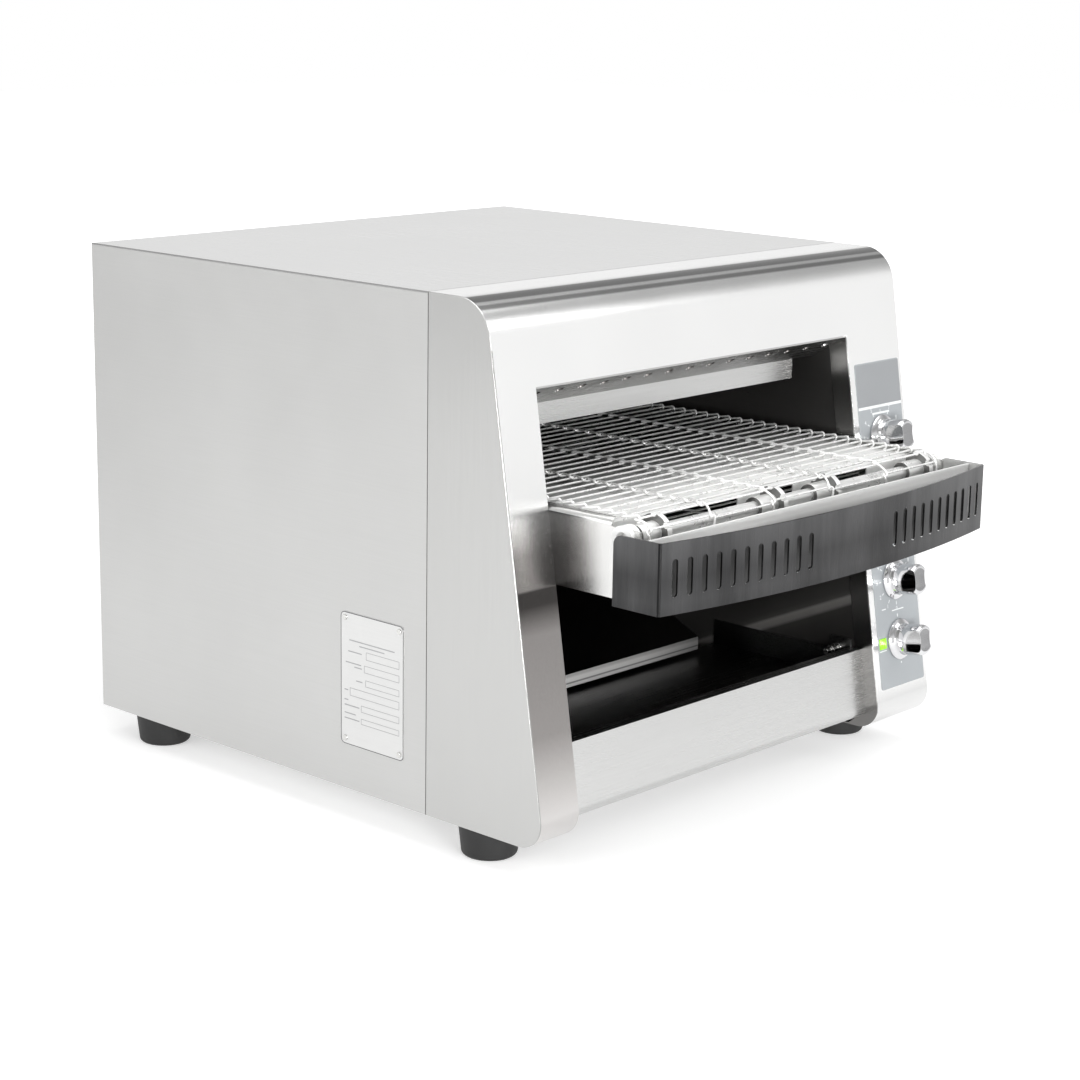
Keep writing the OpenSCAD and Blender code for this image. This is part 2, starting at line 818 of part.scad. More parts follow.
// Depth and height of a point s pitches along the belt and lift outside the middle of its wires
function belt_point(s, lift) =
    s >= belt_strands ? belt_point(s - belt_strands, lift) :
    s < belt_spans ? [drive_shaft_depth + s * strand_pitch, belt_h + lift] :
    s < return_start ?
        let (a = 90 - (s - belt_spans) * 180 / front_turn_pitches)
        [front_shaft_depth, front_shaft_h] + (front_turn_r + lift) * [cos(a), sin(a)] :
    s < rear_turn_start ?
        let (
            t = (s - return_start) / belt_spans,
            front_low_h = front_shaft_h - front_turn_r,
            rear_low_h = drive_shaft_h - rear_turn_r
        )
        [front_shaft_depth - t * belt_spans * strand_pitch,
         front_low_h + t * (rear_low_h - front_low_h) - lift] :
    let (a = -90 - (s - rear_turn_start) * 180 / rear_turn_pitches)
    [drive_shaft_depth, drive_shaft_h] + (rear_turn_r + lift) * [cos(a), sin(a)];

// Points of a wire are written as x, pitches ahead of its own place, and lift. A full strand steps
// over the next one, and a plain strand stops short of it, as the last full strand does too.
step_over = 1 + wire_lift / strand_pitch;
step_short = 1 - wire_lift / strand_pitch;
bend_half_w = 2.4;
bend_run = 1.4;
bend_rise = 0.08;
hook_r = wire_r + 1.85;
hook_start = 2.6;

// Points between a and b, so that a wire follows the curve of a turn
function between(a, b, cuts) = [for (j = [1:1:cuts]) a + (b - a) * j / (cuts + 1)];

function z_bend(x, from, to, cuts) =
    let (
        way = to > from ? bend_rise : -bend_rise,
        a = [x + bend_half_w, from + way, wire_lift],
        b = [x - bend_half_w, to - way, wire_lift]
    )
    concat([[a[0] - bend_run, from, 0], a], between(a, b, cuts), [b, [b[0] + bend_run, to, 0]]);

// From the tip of a hook, round the next strand, to the strand's own corner at x = 0
function hook(cuts) =
    let (
        round = [for (i = [0:3])
            let (a = -100 + i * 75)
            [hook_start + (3 - i) * 0.3, 1 + hook_r * cos(a) / strand_pitch, hook_r * sin(a)]],
        corner = [0, 0, 0]
    )
    concat(round, between(round[3], corner, cuts), [corner]);

function full_strand(step, cuts) =
    let (end = hook(cuts), last = len(end) - 1)
    concat(
        [for (p = end) [p[0] - belt_w / 2, p[1], p[2]]],
        [for (i = [1:belt_bays - 1])
            let (from = i % 2 == 1 ? 0 : step, to = step - from)
            each z_bend(i * bay_w - belt_w / 2, from, to, cuts)],
        [for (i = [last:-1:0]) [belt_w / 2 - end[i][0], end[i][1], end[i][2]]]
    );

plain_strand = concat(
    [[-belt_w / 2, 1, wire_lift], [-belt_w / 2, 0, 0]],
    [for (i = [1:belt_bays - 1])
        let (x = i * bay_w - belt_w / 2, from = i % 2 == 1 ? 0 : step_short)
        each [[x - bend_half_w, from, 0], [x + bend_half_w, step_short - from, 0]]],
    [[belt_w / 2, 0, 0], [belt_w / 2, 1, wire_lift]]
);

function strand_points(path, i) =
    [for (p = path) let (q = belt_point(i + p[1], p[2])) [mouth_x + p[0], -q[0], q[1]]];

// Direction of a wire at point i, halfway between the two runs that meet there
function wire_way(points, i) =
    let (
        before = unit(points[max(i, 1)] - points[max(i, 1) - 1]),
        after = i < len(points) - 1 ? unit(points[i + 1] - points[i]) : before
    )
    unit(before + after);

// A direction square to the wire at each point from i on. Each is led on from the one before, by the
// turn that the wire makes there, so that the four-sided tube doesn't twist.
function wire_sides(points, i, side, last_way) =
    i == len(points) ? [] :
    let (
        way = wire_way(points, i),
        here = side - (side * way) / (1 + last_way * way) * (last_way + way)
    )
    concat([here], wire_sides(points, i + 1, here, way));

// Four corners about each point of a wire, square to the wire there
function wire_rings(points) =
    let (
        start = wire_way(points, 0),
        sides = wire_sides(points, 0, unit([1, 0, 0] - start[0] * start), start)
    )
    [for (i = [0:len(points) - 1])
        let (over = cross(wire_way(points, i), sides[i]))
        each [for (a = [45:90:315]) points[i] + wire_ring_r * (cos(a) * sides[i] + sin(a) * over)]];

// Both triangles of each side of the tube between two rings whose first corners are a and b
function ring_faces(a, b) = [for (k = [0:3]) each [
    [a + k, b + k, b + (k + 1) % 4], [a + k, b + (k + 1) % 4, a + (k + 1) % 4]
]];

// The strands from first on, one for each path, all in one polyhedron
module strands(first, paths) {
    wires = [for (n = [0:len(paths) - 1]) strand_points(paths[n], first + n)];
    points = [for (wire = wires) each wire_rings(wire)];
    rings = len(paths[0]);
    faces = [for (n = [0:len(paths) - 1])
        let (base = n * rings * 4, end = base + (rings - 1) * 4)
        each concat(
            [[base, base + 1, base + 2], [base, base + 2, base + 3],
             [end, end + 2, end + 1], [end, end + 3, end + 2]],
            [for (i = [0:rings - 2]) each ring_faces(base + i * 4, base + i * 4 + 4)]
        )];
    polyhedron(points, faces);
}

module belt_carrying_run() {
    color(chrome) placed() strands(1, [for (i = [1:belt_spans - 2]) full_strand(step_over, 0)]);
}

module belt_front_turn() {
    turn_cuts = 2;
    color(chrome) placed() strands(belt_spans - 1, concat(
        [for (i = [0:front_turn_pitches]) full_strand(step_over, turn_cuts)],
        [full_strand(step_short, turn_cuts)]
    ));
}

module belt_return_run() {
    color(chrome) placed() strands(return_start + 1, [for (i = [1:belt_spans - 1]) plain_strand]);
}

module belt_rear_turn() {
    color(chrome) placed() strands(rear_turn_start, [for (i = [0:rear_turn_pitches]) plain_strand]);
}

// ---- Shafts ----

module front_shaft() {
    end_gap = 0.5;
    color(chrome) placed() rod_x(rail_inner_left + end_gap, rail_inner_right - end_gap,
                                 front_shaft_depth, front_shaft_h, front_shaft_d / 2);
}

// Where each hub's toothed disc ends, measured from the middle of the belt
hub_ends = [-belt_w / 2 + hub_l + 1, -bay_w / 4, bay_w * 0.7, belt_w / 2 - 6];

module front_hubs() {
    color(chrome) placed() for (end = hub_ends)
        translate([mouth_x + end, -front_shaft_depth, front_shaft_h]) rotate([0, -90, 0]) difference() {
            union() {
                cylinder(h = hub_l, r = hub_r);
                linear_extrude(hub_disc_w) sprocket_outline(
                    front_turn_r, 2 * front_turn_pitches, front_turn_r + 1.3, hub_lead(end));
            }
            translate([0, 0, -1]) cylinder(h = hub_l + 2, r = front_shaft_d / 2);
        }
}

// In the bays where the strands lie one step ahead, the hub's seats are turned by as much
function hub_lead(end) =
    floor((end + belt_w / 2) / bay_w) % 2 == 0 ? 0 : -step_over * 180 / front_turn_pitches;

front_bearing_r = front_shaft_d / 2 + 2.5;

// Flanged bushes through the rails
module front_bearings() {
    out_x = mouth_left - 4;
    in_x = rail_inner_left + 4.5;
    flange_r = front_bearing_r + 2;
    color(bright_steel) placed() both_sides() difference() {
        union() {
            rod_x(out_x, in_x, front_shaft_depth, front_shaft_h, front_bearing_r);
            rod_x(out_x, mouth_left, front_shaft_depth, front_shaft_h, flange_r);
            rod_x(rail_inner_left, in_x, front_shaft_depth, front_shaft_h, flange_r);
        }
        rod_x(out_x - 1, in_x + 1, front_shaft_depth, front_shaft_h, front_shaft_d / 2 + shaft_play);
    }
}

module drive_shaft() {
    color(chrome) placed()
        rod_x(wall_left - 10, chain_x + 6, drive_shaft_depth, drive_shaft_h, drive_shaft_d / 2);
}

module drive_sprockets() {
    boss_w = sprocket_w + 14;
    color(steel) placed() for (i = [-(belt_bays - 3):2:belt_bays - 3])
        translate([mouth_x + i * bay_w, -drive_shaft_depth, drive_shaft_h])
            rotate([0, -90, 0]) difference() {
                union() {
                    linear_extrude(sprocket_w, center = true)
                        sprocket_outline(rear_turn_r, sprocket_teeth, rear_turn_r + 1.5, 0);
                    cylinder(h = boss_w, r = drive_shaft_d / 2 + 3, center = true);
                }
                cylinder(h = boss_w + 2, r = drive_shaft_d / 2, center = true);
            }
}

// A disc with a seat for each wire on the turn of radius turn_r, and teeth that stand between them
module sprocket_outline(turn_r, seats, tip_r, lead) {
    seat_r = 3 * wire_r;
    seat = turn_r - wire_r - wire_gap + seat_r;
    difference() {
        circle(tip_r);
        for (i = [0:seats - 1]) rotate(i * 360 / seats + lead) {
            translate([seat, 0]) circle(seat_r);
            polygon([[seat, -seat_r], [seat + 6, -seat_r - 3], [seat + 6, seat_r + 3], [seat, seat_r]]);
        }
    }
}

module drive_bearings() {
    behind_wall = wall_left - sheet;
    out_x = behind_wall - 4;
    flange_r = bearing_r + 4;
    color("goldenrod") placed() both_sides() difference() {
        union() {
            rod_x(out_x, wall_left, drive_shaft_depth, drive_shaft_h, bearing_r);
            rod_x(behind_wall - 3, behind_wall, drive_shaft_depth, drive_shaft_h, flange_r);
        }
        rod_x(out_x - 1, wall_left + 1, drive_shaft_depth, drive_shaft_h, drive_shaft_d / 2 + shaft_play);
    }
}

// ---- Drive ----

chain_roller_r = 2.54;
chain_plate_h = 8;
chain_gap = 0.15;

module chain_wheel_outline() {
    seat_r = chain_roller_r + chain_gap;
    difference() {
        circle(chain_r + 1.8);
        for (i = [0:chain_teeth - 1]) rotate(i * 360 / chain_teeth) union() {
            translate([chain_r, 0]) circle(seat_r);
            polygon([[chain_r, -seat_r], [chain_r + 5, -seat_r - 3.3],
                     [chain_r + 5, seat_r + 3.3], [chain_r, seat_r]]);
        }
    }
}

module chain_wheel(h, bore_r, reach) {
    translate([chain_x, -drive_shaft_depth, h]) rotate([0, 90, 0]) difference() {
        union() {
            linear_extrude(3.6, center = true) chain_wheel_outline();
            translate([0, 0, min(reach, 0)]) cylinder(h = abs(reach), r = bore_r + 4);
        }
        translate([0, 0, -20]) cylinder(h = 40, r = bore_r);
    }
}

module drive_chain_wheel() {
    color(dark_steel) placed() chain_wheel(drive_shaft_h, drive_shaft_d / 2, -8);
}

module motor_chain_wheel() {
    color(dark_steel) placed() chain_wheel(motor_shaft_h, motor_shaft_d / 2, -8);
}

module motor_shaft() {
    color(chrome) placed()
        rod_x(chain_x - 9, bracket_x + 12, drive_shaft_depth, motor_shaft_h, motor_shaft_d / 2);
}

bracket_t = 2;

module motor_bracket() {
    half = 40;
    foot_w = 30;
    boss_hole_r = 14;
    color(steel) placed() difference() {
        union() {
            block([bracket_x, drive_shaft_depth - half, pan_top_h],
                  [bracket_x + bracket_t, drive_shaft_depth + half, motor_shaft_h + half]);
            block([bracket_x, drive_shaft_depth - half, pan_top_h],
                  [bracket_x + foot_w, drive_shaft_depth + half, pan_top_h + bracket_t]);
        }
        rod_x(bracket_x - 1, bracket_x + bracket_t + 1, drive_shaft_depth, motor_shaft_h, boss_hole_r);
    }
}

module gearmotor() {
    box_x = bracket_x + bracket_t;
    box_half = 32;
    boss_r = 13;
    motor_r = 26;
    motor_offset = 4;
    bore_l = 10;
    color(steel) placed() union() {
        difference() {
            union() {
                block([box_x, drive_shaft_depth - box_half, motor_shaft_h - box_half],
                      [box_x + gearbox_w / 2, drive_shaft_depth + box_half, motor_shaft_h + box_half]);
                rod_x(bracket_x - 3, box_x + 1, drive_shaft_depth, motor_shaft_h, boss_r);
            }
            rod_x(bracket_x - 4, box_x + bore_l + 2, drive_shaft_depth, motor_shaft_h,
                  motor_shaft_d / 2 + shaft_play);
        }
        rod_x(box_x + gearbox_w / 2, box_x + gearbox_w,
              drive_shaft_depth + motor_offset, motor_shaft_h, motor_r);
    }
}

// Places of the chain's rollers, in pitches round the loop, as depth and height
chain_links = 2 * chain_spans + chain_teeth;
function chain_point(s) =
    s < chain_teeth / 2 ?
        let (a = 180 - s * 360 / chain_teeth)
        [drive_shaft_depth, drive_shaft_h] + chain_r * [cos(a), sin(a)] :
    s < chain_teeth / 2 + chain_spans ?
        [drive_shaft_depth + chain_r, drive_shaft_h - (s - chain_teeth / 2) * chain_pitch] :
    s < chain_teeth + chain_spans ?
        let (a = -(s - chain_teeth / 2 - chain_spans) * 360 / chain_teeth)
        [drive_shaft_depth, motor_shaft_h] + chain_r * [cos(a), sin(a)] :
    [drive_shaft_depth - chain_r, motor_shaft_h + (s - chain_teeth - chain_spans) * chain_pitch];

// The two plates of one link, plate_x out from the middle of the chain
module chain_link(i, plate_x, plate_t) {
    here = chain_point(i);
    next = chain_point((i + 1) % chain_links);
    way = atan2(next[1] - here[1], next[0] - here[0]);
    for (side = [-1, 1])
        side_profile(chain_x + side * plate_x - plate_t / 2, chain_x + side * plate_x + plate_t / 2)
            translate(here) rotate(way) union() {
                translate([0, -chain_plate_h / 4]) square([chain_pitch, chain_plate_h / 2]);
                circle(chain_plate_h / 2 - 0.4);
                translate([chain_pitch, 0]) circle(chain_plate_h / 2 - 0.4);
            }
}

module drive_chain() {
    plate_t = 0.9;
    inner_plate_x = 2.6;
    outer_plate_x = 3.6;
    roller_half_w = 2.2;
    pin_half_w = 4.6;
    pin_r = 1.3;
    color(dark_steel) placed() union() {
        for (i = [0:2:chain_links - 1]) chain_link(i, inner_plate_x, plate_t);
        for (i = [1:2:chain_links - 1]) chain_link(i, outer_plate_x, plate_t);
        for (i = [0:chain_links - 1]) let (p = chain_point(i)) {
            rod_x(chain_x - roller_half_w, chain_x + roller_half_w, p[0], p[1], chain_roller_r);
            rod_x(chain_x - pin_half_w, chain_x + pin_half_w, p[0], p[1], pin_r);
        }
    }
}

// ---- Cooling fan ----

fan_axis_depth = sheet + fan_t / 2;

module fan_place() {
    translate([mouth_x, -fan_axis_depth, fan_h]) rotate([90, 0, 0]) children();
}

module fan_frame() {
    bore = fan_w - 6;
    color(black) placed() fan_place() union() {
        difference() {
            linear_extrude(fan_t, center = true) rounded_rect(fan_w, fan_w, 4);
            cylinder(h = fan_t + 1, r = bore / 2, center = true);
            for (x = [-1, 1], y = [-1, 1]) translate([x, y, 0] * (fan_w / 2 - 5))
                cylinder(h = fan_t + 1, r = 2.2, center = true);
        }
        translate([0, 0, fan_t / 2 - 3]) union() {
            for (a = [20, 140, 260]) rotate(a) translate([10, -2, 0]) cube([bore / 2 - 9.5, 4, 3]);
            cylinder(h = 3, r = 18);
        }
        translate([0, 0, fan_t / 2 - 10]) cylinder(h = 8, r = 3);
    }
}

module fan_rotor() {
    color(black) placed() fan_place() difference() {
        union() {
            translate([0, 0, -fan_t / 2 + 2]) cylinder(h = fan_t - 7, r = 18);
            intersection() {
                translate([0, 0, -fan_t / 2 + 2]) cylinder(h = fan_t - 7, r = fan_w / 2 - 5);
                for (i = [0:fan_blades - 1]) rotate(i * 360 / fan_blades)
                    translate([fan_w / 4 + 6, 0, -2.5]) rotate([40, 0, 0])
                        cube([fan_w / 2, 30, 1.6], center = true);
            }
        }
        translate([0, 0, fan_t / 2 - 12]) cylinder(h = 12, r = 3 + shaft_play);
    }
}

// ---- Toast return ----

module return_chute() {
    bend = [chute_rear_depth + chute_bend_r, chute_bend_h];
    color(steel) placed() union() {
        side_profile(wall_left, wall_right) polygon(bent_sheet(concat(
            [[chute_rear_depth, reflector_h - 60]],
            arc(bend, chute_bend_r, 180, 270 - chute_slope, 10),
            [chute_slope_point(chute_lip_depth - 30)]
        ), sheet));
        side_profile(wall_left + chute_lip_inset, wall_right - chute_lip_inset)
            polygon(bent_sheet([
                chute_slope_point(chute_lip_depth - 31), [chute_lip_depth, chute_lip_h],
                [chute_lip_depth, chute_lip_h - chute_lip_fall]
            ], sheet));
    }
}

function chute_slope_point(depth) =
    [depth, chute_lip_h + (chute_lip_depth - depth) * tan(chute_slope)];

// Height of the bend's middle that makes the upright and the slope run into each other
bend_foot_depth = chute_rear_depth + chute_bend_r * (1 - sin(chute_slope));
chute_bend_h = chute_slope_point(bend_foot_depth)[1] + chute_bend_r * cos(chute_slope);

module collecting_tray() {
    ear_depth = thumb_depth - 9;
    color(steel) placed() difference() {
        union() {
            side_profile(wall_left, wall_right) polygon(bent_sheet([
                [chute_lip_depth - 10, tray_floor_h - 8], [chute_lip_depth - 10, tray_floor_h],
                [tray_front_depth, tray_floor_h], [tray_front_depth, tray_floor_h + 14]
            ], sheet));
            both_sides() block([wall_left, chute_lip_depth - 10, tray_floor_h],
                               [mouth_left, tray_front_depth, tray_side_h]);
            both_sides() block([wall_left, ear_depth, tray_floor_h],
                               [mouth_left, tray_front_depth, thumb_h + 9]);
        }
        rod_x(-half_w, half_w, thumb_depth, thumb_h, thumb_shank_r + 0.1);
    }
}

module thumb_screws() {
    color(chrome) placed() both_sides() union() {
        rod_x(wall_left - sheet - 4, mouth_left + 18, thumb_depth, thumb_h, thumb_shank_r);
        rod_x(mouth_left, mouth_left + 3, thumb_depth, thumb_h, 4.5);
        rod_x(mouth_left + 7, mouth_left + 12, thumb_depth, thumb_h, 4);
    }
}

module crumb_tray() {
    left = mouth_left + 0.5;
    right = mouth_right - 0.5;
    color(steel) placed() union() {
        difference() {
            block([left, crumb_rear_depth, crumb_base_h],
                  [right, crumb_front_depth, crumb_base_h + crumb_wall_h]);
            block([left + 1, crumb_rear_depth + 1, crumb_base_h + 1],
                  [right - 1, crumb_front_depth - 1, crumb_base_h + 50]);
        }
        block([mouth_x - 60, crumb_front_depth, crumb_base_h + 4],
              [mouth_x + 60, crumb_front_depth + 12, crumb_base_h + 5.2]);
    }
}

module crumb_tray_runners() {
    base = crumb_base_h - 0.3;
    rear = crumb_rear_depth - 10;
    color(steel) placed() both_sides() union() {
        block([wall_left, rear, base - sheet], [wall_left + 12, crumb_front_depth, base]);
        block([wall_left, rear, base - sheet], [mouth_left, crumb_front_depth, base + 10]);
    }
}

// ---- Guard ----

module guard_plan(inset) {
    intersection() {
        translate([0, guard_r - guard_apex_depth]) circle(guard_r - inset, $fn = 360);
        translate([inset - guard_w / 2, -guard_apex_depth - 1])
            square([guard_w - 2 * inset, guard_apex_depth - guard_wing_depth + 1]);
    }
}

module front_guard() {
    roll = 7;
    color(dark_steel) placed() translate([mouth_x, 0, 0]) difference() {
        translate([0, 0, guard_base_h]) linear_extrude(guard_h) difference() {
            guard_plan(0);
            guard_plan(guard_t);
            translate([-guard_w, -guard_wing_depth - 1]) square([2 * guard_w, 2]);
        }
        for (side = [-1, 1], i = [0:slot_count - 1])
            translate([side * (slot_start + i * slot_pitch), -guard_depth + 20, guard_base_h + guard_h / 2])
                rotate([90, 0, 0]) linear_extrude(60) obround(slot_w, slot_h);
        side_profile(-guard_w, guard_w) translate([guard_wing_depth, guard_base_h + guard_h - roll])
            difference() {
                translate([-1, 0]) square([roll + 1, roll + 1]);
                translate([roll + 1, 0]) circle(roll);
            }
    }
}

// Channels between the rails and the guard's wings, below and in front of the shaft's bearings
module guard_brackets() {
    out_x = mouth_x - guard_w / 2 + guard_t;
    rear = front_shaft_depth + front_bearing_r + 4;
    front = infeed_depth - 3;
    low_h = infeed_h + 3;
    high_h = infeed_h + 31;
    color(steel) placed() both_sides() difference() {
        block([out_x, rear, low_h], [mouth_left, front, high_h]);
        block([out_x + guard_t, rear - 1, low_h + guard_t],
              [mouth_left - guard_t, front + 1, high_h - guard_t]);
    }
}

// ---- Controls and data plate ----

module control_overlay() {
    mid_h = (overlay_base_h + overlay_top_h) / 2;
    length = (overlay_top_h - overlay_base_h) / lean_cos;
    color([0.62, 0.65, 0.68]) placed() difference() {
        on_face(half_w - knob_inset + 0.5, mid_h) translate([0, 0, face_fit])
            linear_extrude(overlay_t - face_fit) rounded_rect(overlay_w, length, 2);
        for (h = knob_heights) on_face(half_w - knob_inset, h)
            cylinder(h = 10, r = spindle_d / 2 + 0.5, center = true);
        on_face(half_w - knob_inset - lamp_offset, knob_heights[3])
            cube([lamp_w + 0.2, lamp_h + 0.2, 10], center = true);
    }
}

// How far a spindle reaches into its switch
spindle_depth = 12;

// A round skirt and a grip on its spindle. Two leaning scoops leave the grip narrower at its face.
module knob(h) {
    base = overlay_t + knob_gap;
    skirt_h = 4;
    scoop_r = 22;
    scoop_lean = 6;
    scoop_l = knob_l - skirt_h - 3.5;
    bar_w = 13;
    color(chrome) placed() on_face(half_w - knob_inset, h) union() {
        difference() {
            translate([0, 0, base]) rotate_extrude() polygon([
                [0, 0], [knob_skirt_d / 2 - 0.6, 0], [knob_skirt_d / 2, 0.6], [knob_skirt_d / 2, 1.6],
                [knob_grip_d / 2 + 1.5, skirt_h], [knob_grip_d / 2, skirt_h + 1],
                [knob_grip_d / 2, knob_l - 2], [knob_grip_d / 2 - 2, knob_l], [0, knob_l]
            ]);
            for (s = [-1, 1]) translate([s * (bar_w / 2 + scoop_r / cos(scoop_lean)), 0, base + knob_l])
                rotate([0, -s * scoop_lean, 0]) translate([0, 0, -scoop_l])
                    cylinder(h = scoop_l + 5, r = scoop_r);
        }
        translate([0, 0, -sheet - spindle_depth])
            cylinder(h = sheet + spindle_depth + base + 0.5, r = spindle_d / 2);
    }
}

module speed_knob() {
    knob(knob_heights[0]);
}

module upper_heat_knob() {
    knob(knob_heights[1]);
}

module lower_heat_knob() {
    knob(knob_heights[2]);
}

module power_knob() {
    knob(knob_heights[3]);
}

// The switch behind each knob, which its spindle turns in
module control_bodies() {
    switch_w = 28;
    switch_l = 22;
    back = -sheet - face_fit;
    color(black) placed() for (h = knob_heights) on_face(half_w - knob_inset, h) difference() {
        union() {
            translate([0, 0, back - switch_l / 2]) cube([switch_w, switch_w, switch_l], center = true);
            translate([0, 0, back - switch_l - 6]) cylinder(h = 7, r = 10);
        }
        translate([0, 0, -sheet - spindle_depth - 0.5])
            cylinder(h = spindle_depth + 5, r = spindle_d / 2 + shaft_play);
    }
}

module indicator_lamp() {
    proud = 0.8;
    socket_l = 12;
    socket_edge = 1;
    color("limegreen") placed() on_face(half_w - knob_inset - lamp_offset, knob_heights[3]) union() {
        translate([-lamp_w / 2, -lamp_h / 2, -sheet - 1])
            cube([lamp_w, lamp_h, sheet + 1 + overlay_t + proud]);
        translate([-lamp_w / 2 - socket_edge, -lamp_h / 2 - socket_edge, -sheet - face_fit - socket_l])
            cube([lamp_w + 2 * socket_edge, lamp_h + 2 * socket_edge, socket_l]);
    }
}

module data_plate() {
    color(bright_steel) placed() difference() {
        translate([-half_w, -plate_depth, plate_mid_h]) rotate([90, 0, -90])
            linear_extrude(plate_t) rounded_rect(plate_w, plate_h, 4);
        plate_rivet_holes();
    }
}

module data_plate_rivets() {
    color(chrome) placed() plate_rivet_places() translate([-half_w, 0, 0]) rotate([0, -90, 0]) union() {
        translate([0, 0, plate_t]) cylinder(h = rivet_head_h, r = 2.2);
        translate([0, 0, -2.5]) cylinder(h = 2.6 + plate_t, r = 1.2);
    }
}

module terminal_block() {
    left = wall_right + sheet;
    block_w = 18;
    well_w = 8;
    rear_depth = 60;
    base_h = 30;
    top_h = 54;
    wells = 5;
    well_l = 10;
    rib = 3;
    color(black) placed() difference() {
        block([left, rear_depth, base_h],
              [left + block_w, rear_depth + wells * (well_l + rib) + rib, top_h]);
        for (i = [0:wells - 1]) let (rear = rear_depth + rib + i * (well_l + rib))
            block([left + block_w - well_w, rear, base_h - 1],
                  [left + block_w + 1, rear + well_l, top_h + 1]);
    }
}

base_pan();
left_side_panel();
right_side_panel();
top_panel();
rear_panel();
front_frame();
front_shroud();
lower_front_panel();
control_overlay();
data_plate();
data_plate_rivets();
left_inner_wall();
right_inner_wall();
rear_heat_shield();
roof_reflector();
heat_deflector();
upper_heaters();
lower_heaters();
left_conveyor_rail();
right_conveyor_rail();
infeed_pan();
belt_deck();
belt_runners();
belt_carrying_run();
belt_front_turn();
belt_return_run();
belt_rear_turn();
front_guard();
guard_brackets();
front_shaft();
front_hubs();
front_bearings();
drive_shaft();
drive_sprockets();
drive_bearings();
drive_chain_wheel();
motor_chain_wheel();
motor_shaft();
gearmotor();
motor_bracket();
drive_chain();
fan_frame();
fan_rotor();
return_chute();
collecting_tray();
thumb_screws();
crumb_tray();
crumb_tray_runners();
speed_knob();
upper_heat_knob();
lower_heat_knob();
power_knob();
control_bodies();
indicator_lamp();
terminal_block();
feet();
foot_screws();
case_screws();
cable_gland();
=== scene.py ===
import json
import math

import bmesh
import bpy
from mathutils import Matrix, Quaternion, Vector


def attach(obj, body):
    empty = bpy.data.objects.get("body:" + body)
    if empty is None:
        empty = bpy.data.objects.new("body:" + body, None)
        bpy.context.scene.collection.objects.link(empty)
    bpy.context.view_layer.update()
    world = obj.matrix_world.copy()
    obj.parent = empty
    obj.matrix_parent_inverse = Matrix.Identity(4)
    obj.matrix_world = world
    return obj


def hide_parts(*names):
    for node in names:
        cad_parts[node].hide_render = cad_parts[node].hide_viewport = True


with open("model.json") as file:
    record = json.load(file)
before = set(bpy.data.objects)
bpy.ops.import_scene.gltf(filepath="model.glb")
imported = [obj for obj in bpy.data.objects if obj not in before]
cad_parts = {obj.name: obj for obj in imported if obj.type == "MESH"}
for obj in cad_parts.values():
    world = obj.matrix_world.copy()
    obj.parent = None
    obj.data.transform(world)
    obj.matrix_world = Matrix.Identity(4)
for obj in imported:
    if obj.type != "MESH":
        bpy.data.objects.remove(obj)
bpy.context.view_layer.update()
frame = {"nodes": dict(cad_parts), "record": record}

nodes = frame["nodes"]
mm = 0.001
lean = math.radians(9.16)
casing = {"middle": 0.7, "rear": 289.7, "underside": 24, "halfWidth": 235}  # its own zero point in the frame
crown = {"depth": 408.2, "h": 350, "radius": 30}
print("frame loaded:", len(nodes), "nodes")


def place(x, depth, h):  # millimetres from the casing's middle, rear and underside, in the shared frame
    return Vector(((x + casing["middle"]) * mm, (casing["rear"] - depth) * mm,
                   (h + casing["underside"]) * mm))


def faceDepth(h):  # where the leaning face stands at height h
    return 495 - h * math.tan(lean)


# Materials

def startMaterial(name):
    made = bpy.data.materials.new(name)
    made.use_nodes = True
    tree = made.node_tree
    return made, tree, tree.nodes["Principled BSDF"]


def addNode(tree, kind, settings=None, **inputs):
    made = tree.nodes.new(kind)
    for key, value in (settings or {}).items():
        setattr(made, key, value)
    for key, value in inputs.items():
        made.inputs[key.replace("_", " ")].default_value = value
    return made


def math2(tree, operation, first, second=0.0):
    node = addNode(tree, "ShaderNodeMath", {"operation": operation})
    for index, value in enumerate((first, second)):
        if isinstance(value, bpy.types.NodeSocket):
            tree.links.new(value, node.inputs[index])
        else:
            node.inputs[index].default_value = value
    return node.outputs[0]


def splitObject(tree):
    coords = addNode(tree, "ShaderNodeTexCoord")
    split = addNode(tree, "ShaderNodeSeparateXYZ")
    tree.links.new(coords.outputs["Object"], split.inputs[0])
    return split.outputs


def grainNoise(tree, stretch, scale, detail=6.0, seed=0.0):  # noise drawn out by the Mapping's scale
    coords = addNode(tree, "ShaderNodeTexCoord")
    mapping = addNode(tree, "ShaderNodeMapping", Scale=stretch, Location=(seed, seed * 0.7, seed * 1.3))
    noise = addNode(tree, "ShaderNodeTexNoise", Scale=scale, Detail=detail, Roughness=0.6)
    tree.links.new(coords.outputs["Object"], mapping.inputs["Vector"])
    tree.links.new(mapping.outputs["Vector"], noise.inputs["Vector"])
    return noise.outputs["Fac"]


def remap(tree, source, low, high, fromLow=0.3, fromHigh=0.7):
    node = addNode(tree, "ShaderNodeMapRange", To_Min=low, To_Max=high, From_Min=fromLow, From_Max=fromHigh)
    tree.links.new(source, node.inputs["Value"])
    return node.outputs["Result"]


def levels(tree, source, low, high, stops):  # grey levels at places between low and high
    ramp = addNode(tree, "ShaderNodeValToRGB")
    tree.links.new(remap(tree, source, 0, 1, low, high), ramp.inputs["Fac"])
    elements = ramp.color_ramp.elements
    elements.remove(elements[1])
    for index, (at, level) in enumerate(stops):
        where = (at - low) / (high - low)
        element = elements.new(where) if index else elements[0]
        element.position = where
        element.color = (level, level, level, 1)
    return ramp.outputs["Color"]


